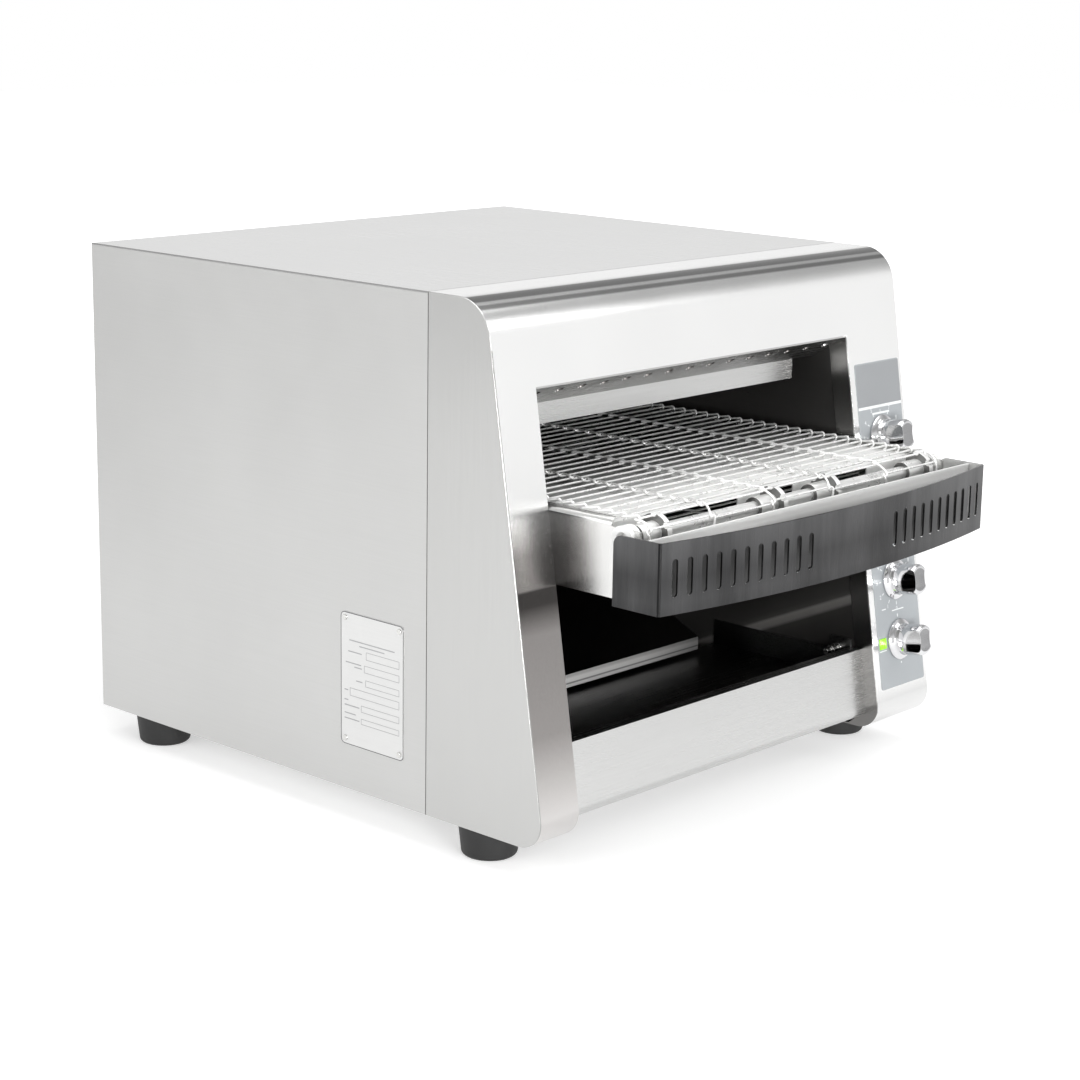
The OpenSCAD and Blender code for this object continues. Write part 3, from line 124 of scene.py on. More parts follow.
def heightLevels(tree, z, low, high, stops):  # grey levels at heights in millimetres
    return levels(tree, z, place(0, 0, low).z, place(0, 0, high).z, [(place(0, 0, h).z, v) for h, v in stops])


def depthLevels(tree, y, low, high, stops):  # grey levels at depths in millimetres
    return levels(tree, y, place(0, low, 0).y, place(0, high, 0).y, [(place(0, d, 0).y, v) for d, v in stops])


def mixColors(tree, factor, first, second, blend="MIX"):
    node = addNode(tree, "ShaderNodeMix", {"data_type": "RGBA", "blend_type": blend})
    for index, value in ((0, factor), (6, first), (7, second)):
        if isinstance(value, bpy.types.NodeSocket):
            tree.links.new(value, node.inputs[index])
        elif index:
            node.inputs[index].default_value = (*value, 1)
        else:
            node.inputs[index].default_value = value
    return node.outputs[2]


def multiply(tree, first, second):
    return mixColors(tree, 1.0, first, second, "MULTIPLY")


def both(tree, first, second):  # where two masks hold
    return math2(tree, "MULTIPLY", first, second)


def offMiddle(tree, x):  # distance from the casing's middle plane
    return math2(tree, "ABSOLUTE", math2(tree, "SUBTRACT", x, casing["middle"] * mm))


def addBump(tree, shader, height, strength, distance):
    bump = addNode(tree, "ShaderNodeBump", Strength=strength, Distance=distance)
    tree.links.new(height, bump.inputs["Height"])
    tree.links.new(bump.outputs["Normal"], shader.inputs["Normal"])


# Rolled sheet with a fine grain along one axis, soft clouds and a few rubbed places
def brushedSteel(name, color, roughness, grain, blotch=0.06, marks=0.05, bump=0.06, seed=0.0, shade=None,
                 metallic=1.0):
    made, tree, shader = startMaterial(name)
    stretch = {"x": (2, 260, 260), "y": (260, 2, 260), "z": (260, 260, 2)}[grain]
    fine = grainNoise(tree, stretch, 8.0, 3.0, seed)
    clouds = grainNoise(tree, (1, 1, 1), 5.0, 3.0, seed + 3)
    dark = tuple(c * (1 - blotch) for c in color)
    light = tuple(min(1, c * (1 + blotch)) for c in color)
    tone = mixColors(tree, remap(tree, clouds, 0, 1), dark, light)
    tone = mixColors(tree, remap(tree, fine, 0, marks), tone, tuple(c * 0.4 for c in color))
    # shade multiplies painted shade, painted reflections and painted highlights into the colour
    if shade:
        tone = multiply(tree, tone, shade(tree))
    tree.links.new(tone, shader.inputs["Base Color"])
    rough = math2(tree, "ADD", remap(tree, fine, roughness - 0.04, roughness + 0.04),
                  remap(tree, clouds, -0.03, 0.03))
    tree.links.new(rough, shader.inputs["Roughness"])
    shader.inputs["Metallic"].default_value = metallic
    addBump(tree, shader, fine, bump, 0.0002)
    return made


def polishedMetal(name, color, roughness, blotch=0.04, scale=60.0, bump=0.03, metallic=1.0):
    made, tree, shader = startMaterial(name)
    clouds = grainNoise(tree, (1, 1, 1), scale, 4.0)
    dark = tuple(c * (1 - blotch) for c in color)
    tree.links.new(mixColors(tree, remap(tree, clouds, 0, 1), dark, color), shader.inputs["Base Color"])
    tree.links.new(remap(tree, clouds, roughness * 0.7, roughness * 1.4), shader.inputs["Roughness"])
    shader.inputs["Metallic"].default_value = metallic
    addBump(tree, shader, clouds, bump, 0.0001)
    return made


def mouldedPlastic(name, color, roughness, scale=900.0, bump=0.15, blotch=0.15):
    made, tree, shader = startMaterial(name)
    grain = grainNoise(tree, (1, 1, 1), scale, 2.0)
    clouds = grainNoise(tree, (1, 1, 1), 14.0, 3.0)
    light = tuple(c * (1 + blotch) + 0.004 for c in color)
    tree.links.new(mixColors(tree, remap(tree, clouds, 0, 1), color, light), shader.inputs["Base Color"])
    tree.links.new(remap(tree, clouds, roughness - 0.06, roughness + 0.06), shader.inputs["Roughness"])
    addBump(tree, shader, grain, bump, 0.0002)
    return made


crownReflectionBands = (  # painted reflection bands: degrees from the top, grey level
    (9, 1.0), (12, 0.3), (27, 0.3), (29, 0.7), (33, 0.7), (36, 0.3), (41, 0.3), (44, 0.8), (60, 1.0))


def crownShade(tree, x, y, z):  # painted reflection bands at angles round the crown, on its outer skin only
    centre = place(0, crown["depth"], crown["h"])
    up = math2(tree, "SUBTRACT", z, centre.z)
    out = math2(tree, "SUBTRACT", centre.y, y)
    bands = levels(tree, math2(tree, "ARCTAN2", out, up), 0.0, math.radians(90),
                   [(math.radians(angle), level) for angle, level in crownReflectionBands])
    reach = math2(tree, "ADD", math2(tree, "MULTIPLY", out, out), math2(tree, "MULTIPLY", up, up))
    skin = math2(tree, "GREATER_THAN", reach, ((crown["radius"] - 0.7) * mm) ** 2)
    across = math2(tree, "LESS_THAN", offMiddle(tree, x), 234.2 * mm)
    return mixColors(tree, both(tree, skin, across), (1, 1, 1), bands)


def jambMask(tree, x, y, z):  # where painted shade goes: the edge of the feed opening, behind the leaning face
    edge = both(tree, math2(tree, "GREATER_THAN", x, place(163.7, 0, 0).x),
                math2(tree, "LESS_THAN", x, place(165.3, 0, 0).x))
    onFace = place(0, faceDepth(100) - 1.2, 100)
    unleaned = math2(tree, "SUBTRACT", y, math2(tree, "MULTIPLY", z, math.tan(lean)))
    behind = math2(tree, "GREATER_THAN", unleaned, onFace.y - onFace.z * math.tan(lean))
    return both(tree, edge, both(tree, behind, math2(tree, "LESS_THAN", z, place(0, 0, 318).z)))


def frontShade(tree):  # painted reflection bands on the crown, and painted reflection and shade on the posts' faces beside and below the belt, the jamb, the left bend and the sides
    x, y, z = splitObject(tree)
    # painted reflection of the rail and guard, and painted shade, down the left post's face by height
    post = heightLevels(tree, z, 10, 260, (
        (10, 0.7), (80, 0.3), (150, 0.3), (170, 0.06), (180, 0.06), (182, 0.25), (205, 0.35), (235, 1.0)))
    onPost = both(tree, math2(tree, "GREATER_THAN", x, place(-234.7, 0, 0).x),
                  math2(tree, "LESS_THAN", x, place(-194.2, 0, 0).x))
    # the painted shade turns warmer where it is darker
    warm = mixColors(tree, post, (1.0, 0.93, 0.90), (1, 1, 1))
    toned = mixColors(tree, onPost, (1, 1, 1), multiply(tree, post, warm))
    # painted shade near the foot of the right post, in place of the floor's reflection
    rightToe = heightLevels(tree, z, -4, 70, ((2, 0.72), (12, 0.80), (24, 0.72), (34, 0.86), (56, 1.0)))
    rightPost = math2(tree, "GREATER_THAN", x, place(164, 0, 0).x)
    toned = mixColors(tree, rightPost, toned, multiply(tree, toned, rightToe))
    # painted shade on the jamb of the feed opening
    toned = mixColors(tree, jambMask(tree, x, y, z), toned, (0.27, 0.265, 0.26))
    # painted shade over the highlight along the left front bend
    fold = both(tree, math2(tree, "LESS_THAN", x, place(-233.8, 0, 0).x),
                math2(tree, "LESS_THAN", z, place(0, 0, 346).z))
    toned = mixColors(tree, fold, toned, (0.40, 0.40, 0.395))
    # painted shade on the shroud's sides, down to the side panels' shaded colour
    side = math2(tree, "GREATER_THAN", offMiddle(tree, x), 234.8 * mm)
    toned = mixColors(tree, side, toned, (0.57, 0.57, 0.565))
    return multiply(tree, toned, crownShade(tree, x, y, z))


def railShade(tree):  # painted shade on the rail's outer side, darker further back where it meets the post
    x, y, z = splitObject(tree)
    tone = depthLevels(tree, y, 540, 440, (
        (520, 1.0), (508, 0.92), (496, 0.66), (486, 0.34), (476, 0.13), (464, 0.08)))
    outer = math2(tree, "LESS_THAN", x, place(-194.7, 0, 0).x)
    return mixColors(tree, outer, (1, 1, 1), tone)


def seamShade(tree):  # painted shadow in the seams where the lid, the sides and the front meet
    x, y, z = splitObject(tree)
    atFront = math2(tree, "LESS_THAN", y, place(0, 378.2, 0).y)
    underLid = math2(tree, "GREATER_THAN", z, place(0, 0, 379.0).z)
    outside = math2(tree, "GREATER_THAN", offMiddle(tree, x), 234.4 * mm)
    tone = mixColors(tree, both(tree, underLid, outside), (1, 1, 1), (0.42, 0.42, 0.42))
    return mixColors(tree, atFront, tone, (0.34, 0.335, 0.33))


def guardShade(tree):  # painted light and shade: lighter towards the top edge, upright smears of random tone, and painted shade over the left bend's highlight
    x, y, z = splitObject(tree)
    rise = heightLevels(tree, z, 180, 230, ((180, 0.62), (188, 0.72), (204, 0.62), (218, 0.88), (229, 1.0)))
    smears = grainNoise(tree, (30, 30, 5), 1.0, 4.0, 5.0)
    tone = mixColors(tree, remap(tree, smears, 0.1, 1.3), (0.5, 0.5, 0.5), (1, 1, 1))
    bend = both(tree, math2(tree, "LESS_THAN", x, place(-206.4, 0, 0).x),
                math2(tree, "LESS_THAN", y, place(0, 568.4, 0).y))
    return mixColors(tree, bend, multiply(tree, rise, tone), (0.16, 0.16, 0.16))


def infeedShade(tree):  # painted shadow of the guard, dark below its upper edge
    x, y, z = splitObject(tree)
    rise = heightLevels(tree, z, 200, 230, ((200, 0.03), (214, 0.04), (219, 0.6), (223, 1.0)))
    wall = math2(tree, "LESS_THAN", y, place(0, 553, 0).y)
    return mixColors(tree, wall, (1, 1, 1), rise)


def lipShade(tree):  # painted highlight: two bright bands with a dark line between, brightest on the left
    x, y, z = splitObject(tree)
    rise = heightLevels(tree, z, 38, 54, (
        (39, 0.45), (42, 1.0), (45.4, 1.0), (46, 0.35), (46.6, 0.35), (47.2, 1.0), (50, 1.0), (52, 0.6)))
    return multiply(tree, rise, levels(tree, x, -0.2, 0.2, [(-0.05, 1.0), (0.06, 0.7), (0.13, 0.25)]))


# where the painted reflection streak on the right inner wall runs
streak = {"depth": 356.5, "h": 62, "slope": 0.442, "reach": 60}


def wallShade(tree):  # dark, with one painted reflection: a paler streak that climbs to the front below the belt
    x, y, z = splitObject(tree)
    start = place(0, streak["depth"], streak["h"])
    climb = math2(tree, "MULTIPLY", math2(tree, "SUBTRACT", start.y, y), streak["slope"])
    above = math2(tree, "SUBTRACT", math2(tree, "SUBTRACT", z, start.z), climb)
    return levels(tree, above, -streak["reach"] * mm, streak["reach"] * mm, [(t * mm, v) for t, v in (
        (-40, 0.10), (-14, 0.16), (-9, 0.20), (-6, 0.75), (-1, 0.95), (1.5, 0.30), (6, 0.22), (20, 0.16))])


def deckShade(tree):  # painted shade: a grey band at the front edge, light behind it, darker deeper inside the chamber
    x, y, z = splitObject(tree)
    return depthLevels(tree, y, 540, 350, (
        (519, 0.22), (515.4, 0.30), (514.6, 1.0), (480, 1.0), (440, 0.55), (400, 0.22), (370, 0.14)))


# one stainless steel in three colours for how light falls: painted shade on the sides, rear and base, painted
# light on the lid and more on the front
shadedSideSteel = brushedSteel("shadedSideSteel", (0.55, 0.55, 0.543), 0.36, "y", 0.03, 0.03, shade=seamShade)
litTopSteel = brushedSteel("litTopSteel", (0.78, 0.78, 0.775), 0.30, "y", 0.03, 0.03, seed=4, shade=seamShade)
litFrontSteel = brushedSteel("litFrontSteel", (0.91, 0.91, 0.905), 0.22, "z", 0.02, 0.04, seed=8, shade=frontShade)
panelSteel = brushedSteel("panelSteel", (0.565, 0.565, 0.56), 0.26, "x", blotch=0.02, marks=0.03, seed=9)
railSteel = brushedSteel("railSteel", (0.74, 0.74, 0.73), 0.24, "x", 0.05, 0.06, seed=24, shade=railShade)
chamberSteel = brushedSteel("chamberSteel", (0.135, 0.128, 0.122), 0.34, "y", 0.3, 0.3, seed=12, metallic=0.9)
wallSteel = brushedSteel("wallSteel", (0.50, 0.485, 0.47), 0.32, "y", 0.15, 0.1, seed=14, metallic=0.8,
                         shade=wallShade)
# painted shade: the chute and the parts beside it in dark steel, with a bright copy for the chute's lip as a
# painted highlight
shadedChuteSteel = brushedSteel("shadedChuteSteel", (0.085, 0.08, 0.078), 0.30, "x", 0.2, 0.1, seed=16)
lipHighlightSteel = brushedSteel("lipHighlightSteel", (0.92, 0.91, 0.90), 0.36, "x", 0.05, 0.08, seed=18, metallic=0.15,
                        shade=lipShade)
traySteel = brushedSteel("traySteel", (0.12, 0.12, 0.12), 0.30, "x", blotch=0.2, marks=0.2, seed=17)
guardSteel = brushedSteel("guardSteel", (0.118, 0.118, 0.12), 0.30, "z", 0.2, 0.2, seed=20, shade=guardShade)
guardInside = brushedSteel("guardInside", (0.72, 0.72, 0.71), 0.40, "z", 0.1, 0.1, seed=21, metallic=0.4)
infeedSteel = brushedSteel("infeedSteel", (0.92, 0.92, 0.91), 0.36, "x", 0.04, 0.06, seed=26, metallic=0.2,
                           shade=infeedShade)
deckSteel = brushedSteel("deckSteel", (0.92, 0.92, 0.91), 0.40, "x", 0.06, 0.08, seed=28, metallic=0.15,
                         shade=deckShade)
plateMetal = brushedSteel("plateMetal", (0.68, 0.68, 0.675), 0.40, "y", blotch=0.02, marks=0.03, seed=30)
knobFace = brushedSteel("knobFace", (0.34, 0.34, 0.345), 0.28, "x", blotch=0.1, marks=0.2, seed=33)
wireChrome = polishedMetal("wireChrome", (0.97, 0.97, 0.96), 0.26, blotch=0.04, bump=0.01, metallic=0.3)
shaftChrome = polishedMetal("shaftChrome", (0.94, 0.94, 0.93), 0.30, blotch=0.04, bump=0.01, metallic=0.6)
hubSteel = polishedMetal("hubSteel", (0.94, 0.94, 0.93), 0.36, blotch=0.04, bump=0.01, metallic=0.6)
# painted shade on the hubs' flat sides, a dark copy of the hub steel
shadedHubFaces = polishedMetal("shadedHubFaces", (0.26, 0.26, 0.255), 0.40, blotch=0.1)
knobChrome = polishedMetal("knobChrome", (0.70, 0.70, 0.71), 0.06, blotch=0.05)
screwZinc = polishedMetal("screwZinc", (0.70, 0.70, 0.68), 0.22, blotch=0.15, scale=300)
bushBrass = polishedMetal("bushBrass", (0.60, 0.43, 0.18), 0.30, blotch=0.2, scale=200)
chainSteel = polishedMetal("chainSteel", (0.16, 0.155, 0.15), 0.34, blotch=0.4, scale=200)
castMetal = polishedMetal("castMetal", (0.42, 0.42, 0.43), 0.48, blotch=0.15, scale=500, bump=0.2)
heaterSheath = polishedMetal("heaterSheath", (0.10, 0.09, 0.085), 0.5, blotch=0.4, scale=120)
footRubber = mouldedPlastic("footRubber", (0.012, 0.012, 0.012), 0.62)
blackPlastic = mouldedPlastic("blackPlastic", (0.014, 0.014, 0.015), 0.42)
overlayFilm = mouldedPlastic("overlayFilm", (0.345, 0.365, 0.38), 0.34, scale=1500, bump=0.05, blotch=0.04)
overlayBlock = mouldedPlastic("overlayBlock", (0.275, 0.285, 0.295), 0.34, scale=1500, bump=0.05, blotch=0.04)
printWhite = mouldedPlastic("printWhite", (0.78, 0.80, 0.80), 0.45, bump=0.02, blotch=0.02)
printGrey = mouldedPlastic("printGrey", (0.34, 0.34, 0.35), 0.45, bump=0.02, blotch=0.1)
# dark for the painted shadow round the data plate's edge
edgeShadowDark = mouldedPlastic("edgeShadowDark", (0.09, 0.09, 0.095), 0.45, bump=0.02, blotch=0.1)


def lampLens():
    made, tree, shader = startMaterial("lampLens")
    ribs = grainNoise(tree, (1, 1, 1), 700.0, 1.0)
    glow = mixColors(tree, remap(tree, ribs, 0, 1), (0.22, 0.60, 0.01), (0.34, 0.78, 0.03))
    tree.links.new(glow, shader.inputs["Base Color"])
    tree.links.new(glow, shader.inputs["Emission Color"])
    shader.inputs["Emission Strength"].default_value = 0.45
    shader.inputs["Roughness"].default_value = 0.3
    addBump(tree, shader, ribs, 0.2, 0.0002)
    return made


lensGreen = lampLens()

nodeMaterials = {
    shadedSideSteel: ("base_pan", "left_side_panel", "right_side_panel", "rear_panel"),
    litTopSteel: ("top_panel",),
    litFrontSteel: ("front_shroud",),
    panelSteel: ("lower_front_panel", "heat_deflector"),
    chamberSteel: ("front_frame", "left_inner_wall", "rear_heat_shield", "roof_reflector"),
    wallSteel: ("right_inner_wall",),
    railSteel: ("left_conveyor_rail", "right_conveyor_rail"),
    infeedSteel: ("infeed_pan", "guard_brackets", "front_bearings"),
    deckSteel: ("belt_deck", "belt_runners"),
    shadedChuteSteel: ("return_chute", "crumb_tray", "crumb_tray_runners", "motor_bracket"),
    traySteel: ("collecting_tray",),
    guardSteel: ("front_guard",),
    overlayFilm: ("control_overlay",),
    plateMetal: ("data_plate",),
    wireChrome: ("belt_carrying_run", "belt_front_turn", "belt_return_run", "belt_rear_turn"),
    shaftChrome: ("front_shaft", "drive_shaft", "motor_shaft"),
    hubSteel: ("front_hubs",),
    knobChrome: ("speed_knob", "upper_heat_knob", "lower_heat_knob", "power_knob"),
    screwZinc: ("data_plate_rivets", "thumb_screws", "foot_screws", "case_screws"),
    bushBrass: ("drive_bearings",),
    chainSteel: ("drive_chain_wheel", "motor_chain_wheel", "drive_chain"),
    castMetal: ("drive_sprockets", "gearmotor"),
    heaterSheath: ("upper_heaters", "lower_heaters"),
    blackPlastic: ("fan_frame", "fan_rotor", "control_bodies", "terminal_block", "cable_gland"),
    lensGreen: ("indicator_lamp",),
    footRubber: ("feet",),
}
for material, names in nodeMaterials.items():
    for name in names:
        nodes[name].data.materials.clear()
        nodes[name].data.materials.append(material)
print("materials:", len(bpy.data.materials))


# Pieces that stand in for CAD nodes

bodyOf = {node: body for body, names in frame["record"]["behaviour"]["bodies"].items() for node in names}


def addPiece(name, verts, faces, material, standsFor=(), smooth=True):
    mesh = bpy.data.meshes.new(name)
    mesh.from_pydata([tuple(v) for v in verts], [], faces)
    shaped = bmesh.new()
    shaped.from_mesh(mesh)
    bmesh.ops.recalc_face_normals(shaped, faces=shaped.faces)
    shaped.to_mesh(mesh)
    shaped.free()
    for face in mesh.polygons:
        face.use_smooth = smooth
    return finishPiece(name, mesh, material, standsFor)


def finishPiece(name, mesh, material, standsFor=()):
    mesh.materials.clear()
    mesh.materials.append(material)
    made = bpy.data.objects.new(name, mesh)
    bpy.context.scene.collection.objects.link(made)
    if standsFor:
        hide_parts(*standsFor)
        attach(made, bodyOf[standsFor[0]])
    else:
        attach(made, "casing")
    return made


softRules = {"mergeGap": 1e-6, "flatAngle": 0.8, "sharpAngle": 38, "shadeAngle": 50, "wideFaceWeight": 90}


# A copy of a CAD node whose sheet edges are softened, shaded from its wide faces
def soften(node, width, segments=2, wider=None, chosen=None, second=None):
    source = nodes[node]
    shaped = bmesh.new()
    shaped.from_mesh(source.data)
    bmesh.ops.remove_doubles(shaped, verts=shaped.verts, dist=softRules["mergeGap"])
    bmesh.ops.dissolve_limit(shaped, angle_limit=math.radians(softRules["flatAngle"]),
                             verts=shaped.verts, edges=shaped.edges)
    if wider:
        isBend, wideWidth, wideSegments = wider
        bends = [e for e in shaped.edges if isBend(*(v.co for v in e.verts))]
        bmesh.ops.bevel(shaped, geom=bends, offset=wideWidth, offset_type="OFFSET", segments=wideSegments,
                        profile=0.5, affect="EDGES", clamp_overlap=True, material=-1)
    sharpFrom = math.radians(softRules["sharpAngle"])
    sharp = [e for e in shaped.edges if len(e.link_faces) == 2 and e.calc_face_angle(0) > sharpFrom]
    bmesh.ops.bevel(shaped, geom=sharp, offset=width, offset_type="OFFSET", segments=segments,
                    profile=0.5, affect="EDGES", clamp_overlap=True, material=-1)
    mesh = bpy.data.meshes.new(node + "Soft")
    shaped.to_mesh(mesh)
    shaped.free()
    made = finishPiece(node + "Soft", mesh, source.data.materials[0], (node,))
    for face in mesh.polygons:
        face.use_smooth = True
        face.material_index = int(bool(chosen) and chosen(face))
    if chosen:
        mesh.materials.append(second)
    mesh.set_sharp_from_angle(angle=math.radians(softRules["shadeAngle"]))
    weigh = made.modifiers.new("evenShading", "WEIGHTED_NORMAL")
    weigh.keep_sharp = True
    weigh.weight = softRules["wideFaceWeight"]
    shadedMesh = bpy.data.meshes.new_from_object(made.evaluated_get(bpy.context.evaluated_depsgraph_get()))
    made.modifiers.clear()
    made.data = shadedMesh
    return made


# Wire belt: strands that step over and hook round each other

belt = {
    "width": 343, "pitch": 12, "spans": 33, "frontPitches": 3, "rearPitches": 4, "bays": 5,
    "wireRadius": 0.84, "lift": 2.2, "height": 236.5, "frontDepth": 528.5, "bendHalf": 2.4,
    "bendRun": 1.6, "hookRadius": 2.65, "hookStart": 2.6, "sides": 8, "middle": -15,
}
turnRadii = {end: belt["pitch"] / (2 * math.sin(math.radians(90 / belt[end + "Pitches"])))
             for end in ("front", "rear")}
rearDepth = belt["frontDepth"] - belt["spans"] * belt["pitch"]
returnStart = belt["spans"] + belt["frontPitches"]
rearTurnStart = returnStart + belt["spans"]
strandCount = rearTurnStart + belt["rearPitches"]


def beltPoint(s, lift):  # depth and height at s pitches along the belt
    s %= strandCount
    frontAxis = belt["height"] - turnRadii["front"]
    rearAxis = belt["height"] - turnRadii["rear"]
    if s < belt["spans"]:
        return rearDepth + s * belt["pitch"], belt["height"] + lift
    if s < returnStart:
        turn = math.radians(90 - (s - belt["spans"]) * 180 / belt["frontPitches"])
        reach = turnRadii["front"] + lift
        return belt["frontDepth"] + reach * math.cos(turn), frontAxis + reach * math.sin(turn)
    if s < rearTurnStart:
        share = (s - returnStart) / belt["spans"]
        frontLow = frontAxis - turnRadii["front"]
        rearLow = rearAxis - turnRadii["rear"]
        return (belt["frontDepth"] - share * belt["spans"] * belt["pitch"],
                frontLow + share * (rearLow - frontLow) - lift)
    turn = math.radians(-90 - (s - rearTurnStart) * 180 / belt["rearPitches"])
    reach = turnRadii["rear"] + lift
    return rearDepth + reach * math.cos(turn), rearAxis + reach * math.sin(turn)


def between(first, second, cuts):
    return [tuple(a + (b - a) * i / (cuts + 1) for a, b in zip(first, second)) for i in range(1, cuts + 1)]


def hookPoints(cuts):
    points = []
    for i in range(7):
        turn = math.radians(-100 + i * 37.5)
        points.append((belt["hookStart"] + (6 - i) * 0.15,
                       1 + belt["hookRadius"] * math.cos(turn) / belt["pitch"],
                       belt["hookRadius"] * math.sin(turn)))
    corner = (0.0, 0.0, 0.0)
    return points + between(points[-1], corner, cuts) + [corner]


def fullStrand(step, cuts):
    half, bay = belt["width"] / 2, belt["width"] / belt["bays"]
    end = hookPoints(cuts)
    points = [(p[0] - half, p[1], p[2]) for p in end]
    for i in range(1, belt["bays"]):
        start = 0 if i % 2 else step
        stop = step - start
        rise = 0.08 if stop > start else -0.08
        x = i * bay - half
        high = (x + belt["bendHalf"], start + rise, belt["lift"])
        low = (x - belt["bendHalf"], stop - rise, belt["lift"])
        points += [(high[0] - belt["bendRun"], start, 0), high, *between(high, low, cuts), low,
                   (low[0] + belt["bendRun"], stop, 0)]
    return points + [(half - p[0], p[1], p[2]) for p in reversed(end)]


def plainStrand():
    half, bay = belt["width"] / 2, belt["width"] / belt["bays"]
    short = 1 - belt["lift"] / belt["pitch"]
    points = [(-half, 1, belt["lift"]), (-half, 0, 0)]
    for i in range(1, belt["bays"]):
        start = 0 if i % 2 else short
        x = i * bay - half
        points += [(x - belt["bendHalf"], start, 0), (x + belt["bendHalf"], short - start, 0)]
    return points + [(half, 0, 0), (half, 1, belt["lift"])]


def roundCorners(points, reach):  # two points for each corner, and one on the curve between them
    made = [points[0]]
    for before, here, after in zip(points, points[1:], points[2:]):
        toBefore, toAfter = before - here, after - here
        cut = min(reach, toBefore.length * 0.42, toAfter.length * 0.42)
        a = here + toBefore.normalized() * cut
        b = here + toAfter.normalized() * cut
        made += [a, (a + b + 2 * here) / 4, b]
    return made + [points[-1]]


def addTube(points, radius, sides, verts, faces):
    first = len(verts)
    last = len(points) - 1
    runs = [(b - a).normalized() for a, b in zip(points, points[1:])]
    lastWay = runs[0]
    side = lastWay.orthogonal().normalized()
    for i, point in enumerate(points):
        way = (runs[max(i - 1, 0)] + runs[min(i, last - 1)]).normalized()
        side = side - (lastWay + way) * (side.dot(way) / (1 + lastWay.dot(way)))
        lastWay = way
        over = way.cross(side)
        for k in range(sides):
            turn = math.tau * (k + 0.5) / sides
            verts.append(point + radius * (math.cos(turn) * side + math.sin(turn) * over))
    for i in range(last):
        a = first + i * sides
        for k in range(sides):
            n = (k + 1) % sides
            faces.append((a + k, a + n, a + sides + n, a + sides + k))
    faces.append(tuple(range(first + sides - 1, first - 1, -1)))
    faces.append(tuple(range(first + last * sides, first + (last + 1) * sides)))


def makeBelt():
    over = 1 + belt["lift"] / belt["pitch"]
    short = 1 - belt["lift"] / belt["pitch"]
    carrying, turning, plain = fullStrand(over, 0), fullStrand(over, 2), plainStrand()
    runs = [
        ("belt_carrying_run", 1, [carrying] * (belt["spans"] - 2)),
        ("belt_front_turn", belt["spans"] - 1,
         [turning] * (belt["frontPitches"] + 1) + [fullStrand(short, 2)]),
        ("belt_return_run", returnStart + 1, [plain] * (belt["spans"] - 1)),
        ("belt_rear_turn", rearTurnStart, [plain] * (belt["rearPitches"] + 1)),
    ]
    for node, first, paths in runs:
        verts, faces = [], []
        for index, path in enumerate(paths):
            wire = []
            for x, along, lift in path:
                depth, h = beltPoint(first + index + along, lift)
                wire.append(place(belt["middle"] + x, depth, h))
            addTube(roundCorners(wire, 1.2 * mm), belt["wireRadius"] * mm, belt["sides"], verts, faces)
        addPiece(node + "Wires", verts, faces, wireChrome, (node,))


makeBelt()
print("belt ready")

# Control knobs: a round skirt and a grip with two leaning scoops

knob = {
    "x": 201, "heights": (234, 176, 118, 69), "names": ("speed", "upper_heat", "lower_heat", "power"),
    "base": 0.7, "skirtRadius": 16.8, "skirtH": 4.0, "gripRadius": 12.5, "length": 25.0, "barHalf": 6.5,
    "scoopRadius": 22.0, "scoopLean": 6.0, "scoopFloor": 7.6, "arcPoints": 22, "scoopPoints": 20,
    "spindleRadius": 3, "spindleLength": 13.7, "spindleStart": -12.8,
}


def knobSection(radius, z):  # outline of the grip at height z above the knob's rim, scooped on two sides
    leaning = math.radians(knob["scoopLean"])
    centre = knob["barHalf"] + knob["scoopRadius"] + (knob["length"] - z) * math.tan(leaning)
    scoop = knob["scoopRadius"]
    x = (radius ** 2 - scoop ** 2 + centre ** 2) / (2 * centre)
    y = math.sqrt(max(radius ** 2 - x ** 2, 0.01))
    start, spread = math.atan2(y, x), math.asin(min(1, y / scoop))
    half = []
    for i in range(knob["arcPoints"] + 1):
        turn = start + (math.pi - 2 * start) * i / knob["arcPoints"]
        half.append((radius * math.cos(turn), radius * math.sin(turn)))
    for i in range(1, knob["scoopPoints"]):
        turn = spread - 2 * spread * i / knob["scoopPoints"]
        half.append((-(centre - scoop * math.cos(turn)), scoop * math.sin(turn)))
    return half + [(-px, -py) for px, py in half]


def roundSection(radius, like):  # a circle with as many points as the scooped outline, at the same angles
    made = []
    for x, y in like:
        turn = math.atan2(y, x)
        made.append((radius * math.cos(turn), radius * math.sin(turn)))
    return made


